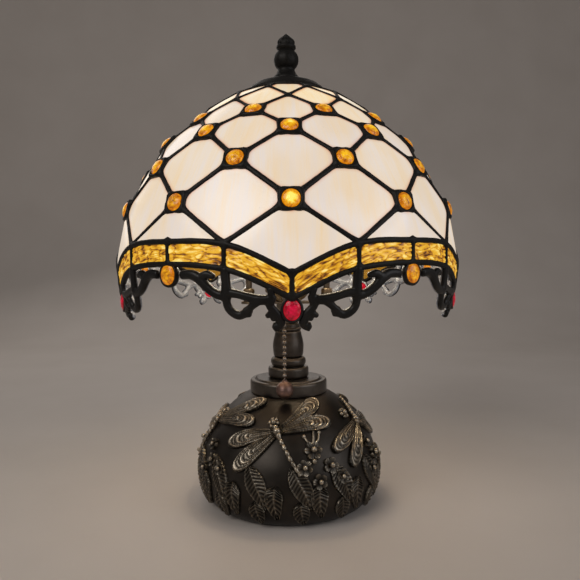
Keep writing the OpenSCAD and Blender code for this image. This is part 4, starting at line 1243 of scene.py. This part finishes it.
def make_base(looks):
    """The cast body, the lid and the turned neck."""
    body = Shape()
    inner = [(r - BASE_WALL, z) for r, z in base_line[::-4] if 2 < z < 80]
    outline = [(51.5, 1.2), (51.5, 0.0), (54.4, 0.0), (55.6, 0.5)] + [tuple(p) for p in base_line[3:]]
    outline += [(9.2, 84), (9.2, 80)] + inner + [(51.5, 1.2)]
    lathe(body, outline, 128, worn=0.0)
    shell = build("base_casting", body, looks["bronze"], "root", ["base_shell"], 35)
    cutter_shape = Shape()
    tube(cutter_shape, [(0, 46, INLET_Z), (0, 60, INLET_Z), (0, 80, INLET_Z)], UP, 5.0, 5.0, 32)
    cutter = new_object("cutter", cutter_shape.mesh("cutter"))
    cut = shell.modifiers.new("inlet", "BOOLEAN")
    cut.object = cutter
    cut.solver = "EXACT"
    done = applied(shell)
    shell.modifiers.clear()
    shell.data = done
    bpy.data.objects.remove(cutter)

    turned = {
        "base_lid": ("base_lid_turned", [
            (5.1, 84.05), (29.6, 84.05), (29.6, 92), (28.8, 93.5), (25.8, 93.5), (25.4, 92.9), (24.9, 93.5),
            (24.3, 94.5), (5.1, 94.5), (5.1, 84.05)], 0.5),
        "neck_foot": ("neck_foot_turned", [
            (5.1, 94.55), (14.4, 94.55), (15.6, 96.2), (15.6, 101.6), (14.8, 102.9), (11.2, 103.1),
            (12.8, 104), (13.6, 106), (13.5, 108.2),
            (12.4, 109.8), (10.4, 110.6), (5.1, 110.6), (5.1, 94.55)], 0.7),
        "neck_barrel": ("neck_barrel_turned", [
            (5.1, 110.7), (10.6, 110.7), (11.3, 111.4), (11.7, 114), (12, 119), (11.4, 123.5), (10.3, 127.5),
            (9.9, 130.8), (5.1, 130.8), (5.1, 110.7)], 1.6),
        "neck_collar": ("neck_collar_turned", [
            (5.1, 130.9), (9.6, 130.9), (10.2, 131.4), (10.2, 132.5), (9.2, 133.1), (9.1, 135.6),
            (8.4, 136.4),
            (5.1, 136.4), (5.1, 130.9)], 0.35),
    }
    for node_name, (name, points, r) in turned.items():
        shape = Shape()
        outline = fillet(points, r)
        rubbed = np.repeat(ridge(np.gradient(np.gradient(outline[:-1, 0])), -0.3, 0.2) * 0.35, 96)
        lathe(shape, outline, 96, worn=rubbed)
        build(name, shape, looks["neck"], "root", [node_name], 30)


def make_top(looks):
    """The black cap over the crown and the finial that holds it down."""
    cap = Shape()
    lathe(cap, fillet([
        (3.4, 320), (9.6, 320), (16, 318.4), (23, 315.6), (27.8, 311.5), (27.8, 310), (30, 310), (30, 312.3),
        (24, 317.2), (16, 320.1), (10, 321.5), (3.4, 321.5), (3.4, 320)], 0.9), 96, worn=0.15)
    build("cap_turned", cap, looks["cap"], "shade", ["shade_cap"], 50)

    def lobes(z, a):
        petal = np.abs(np.cos(np.radians(5 * a)))
        bud = np.clip((z - 347) / 2, 0, 1) * 0.12
        belly = np.exp(-((z - 336) / 5) ** 2) * 0.018
        return 1 - (bud + belly) * (1 - petal)

    swell = [(9.5 * math.cos(t), 336 + 9 * math.sin(t)) for t in np.radians(np.linspace(-46, 50, 17))]
    bud = [(6.3, 347.2), (8.6, 350.4), (3.6, 352.6), (0, 356)]
    tip = [tuple(p) for p in cubic(bud, np.linspace(0.1, 1, 10))]
    outline = [(3.4, 321.6), (10.4, 321.6), (10.5, 322.6), (9.0, 323.9), (7.7, 325.6), (6.8, 327.4)]
    outline += [(6.4, 328.7)] + swell
    outline += [(5.9, 343), (6.4, 343.8), (7.4, 344.6), (7.4, 346.3), (6.5, 347.1)] + tip
    shape = Shape()
    lathe(shape, outline, 80, lobes, worn=0.1)
    build("finial_cast", shape, looks["cap"], "finial", ["finial"], 55)


# ---- inside the shade ----

def make_harp(looks):
    """The harp's bow, one smooth round wire."""
    bow_r, bow_x, bow_z, top = 110, 44, 243, 312
    centre = bow_x - bow_r
    low = -math.acos((30 - centre) / bow_r)
    high = math.radians(25)
    side = [(30, 187.5)]
    for t in np.linspace(low, high, 24):
        side.append((centre + bow_r * math.cos(t), bow_z + bow_r * math.sin(t)))
    over = cubic([side[-1], (26, 297), (14, top), (0, top)], np.linspace(0, 1, 14))
    side += [tuple(p) for p in over[1:]]
    half = np.array(side)
    line = np.vstack([half, half[-2::-1] * [-1, 1]])
    path = np.stack([line[:, 0], np.zeros(len(line)), line[:, 1]], 1)
    shape = Shape()
    tube(shape, path, [0, 1, 0], 2.38, 2.38, 20)
    build("harp_bow", shape, looks["brass"], "root", ["harp_wire"])


def make_bulb(looks):
    shape = Shape()
    turn = np.radians(np.linspace(-58, 90, 40))
    outline = [(12.4, 200), (12.9, 205), (13.6, 211)]
    outline += [(GLOBE_R * math.cos(t), GLOBE_Z + GLOBE_R * math.sin(t)) for t in turn]
    lathe(shape, outline, 80)
    build("bulb_envelope", shape, looks["bulb"], "bulb", ["bulb_glass"], 50)


def finish_cad(looks):
    """Gives the CAD nodes that stay their materials, and softens their edges."""
    stay = {
        ("iron", "weight_iron"): ["base_weight"],
        ("felt", "felt"): ["felt_pad"],
        ("rubber", "grommet_rubber"): ["cord_grommet"],
        ("steel", "steel"): ["centre_pipe", "pipe_washer"],
        ("brass", "brass"): ["neck_riser", "pipe_nuts", "harp_saddle", "harp_legs", "harp_stud",
                             "harp_ferrule_left", "harp_ferrule_right", "centre_contact"],
        ("socket", "socket_brass"): ["socket_cap", "socket_shell", "screw_shell", "switch_spout"],
        ("fibre", "fibre"): ["socket_liner"],
        ("porcelain", "porcelain"): ["socket_core"],
        ("chain", "chain_metal"): ["pull_link", "chain_coupling"],
        ("steel", "bulb_cap"): ["bulb_base"],
        ("stem", "bulb_stem"): ["bulb_stem"],
    }
    parts = [(name, look, slot) for (look, slot), names in stay.items() for name in names]
    for name, look, slot in parts:
        obj = frame["nodes"][name]
        obj.data.materials.clear()
        obj.data.materials.append(looks[look])
        weld = obj.modifiers.new("weld", "WELD")
        weld.merge_threshold = 1e-5
        bevel = obj.modifiers.new("soft_edges", "BEVEL")
        bevel.width = 0.00022
        bevel.segments = 2
        bevel.limit_method = "ANGLE"
        bevel.angle_limit = math.radians(38)
        bevel.harden_normals = True


def make_looks():
    return {
        "opal": opal_look(),
        "band": ripple_look(),
        "amber": jewel_look("amber_jewel", (0.19, 0.055, 0.001), (0.66, 0.27, 0.002), (1.0, 0.58, 0.012),
                            (1.0, 0.86, 0.16), 0.86, 0.1),
        "ruby": jewel_look("ruby_jewel", (0.16, 0.0, 0.010), (0.50, 0.001, 0.028), (0.80, 0.006, 0.07),
                           (0.95, 0.10, 0.20), 0.76, 0.1),
        "lead": lead_look("lead", (0.008, 0.0075, 0.007), (0.10, 0.09, 0.08)),
        "filigree": filigree_look(),
        "bronze": bronze_look("cast_bronze", (0.022, 0.019, 0.016), (0.050, 0.043, 0.037),
                              (0.45, 0.38, 0.29), 0.36),
        "relief": bronze_look("relief_bronze", (0.010, 0.009, 0.008), (0.028, 0.024, 0.020),
                              (0.54, 0.47, 0.37), 0.3),
        "neck": bronze_look("neck_bronze", (0.042, 0.036, 0.031), (0.085, 0.073, 0.063),
                            (0.42, 0.37, 0.31), 0.34),
        "cap": lead_look("cap_black", (0.006, 0.0055, 0.005), (0.09, 0.08, 0.07)),
        "brass": metal_look("brass", (0.24, 0.20, 0.15), 0.34),
        "socket": metal_look("socket_brass", (0.34, 0.26, 0.15), 0.32),
        "steel": metal_look("steel", (0.52, 0.51, 0.49), 0.26),
        "copper": metal_look("ball_copper", (0.26, 0.165, 0.14), 0.3),
        "chain": metal_look("chain_metal", (0.27, 0.235, 0.205), 0.15),
        "iron": plain_look("weight_iron", (0.05, 0.048, 0.045), (0.1, 0.09, 0.085), 0.55, 300, 0.0008,
                           0.7),
        "felt": felt_look(),
        "rubber": plain_look("grommet_rubber", (0.012, 0.012, 0.012), (0.022, 0.021, 0.02), 0.55, 900,
                             0.0002),
        "fibre": plain_look("fibre", (0.035, 0.026, 0.02), (0.06, 0.045, 0.035), 0.7, 700, 0.0004),
        "porcelain": plain_look("porcelain", (0.76, 0.73, 0.66), (0.82, 0.79, 0.73), 0.22, 200, 0.0001),
        "bulb": bulb_look("bulb_glass", (1.0, 0.86, 0.62), 9.0),
        "stem": bulb_look("bulb_stem", (1.0, 0.75, 0.42), 4.0),
    }


make_camera()
looks = make_looks()
make_chain(looks)
make_stage()
make_lights()
make_glass(looks)
make_band(looks)
make_jewels(looks)
make_lattice(looks)
make_band_lead(looks)
make_filigree(looks)
make_base(looks)
make_relief(looks)
make_top(looks)
make_harp(looks)
make_bulb(looks)
finish_cad(looks)
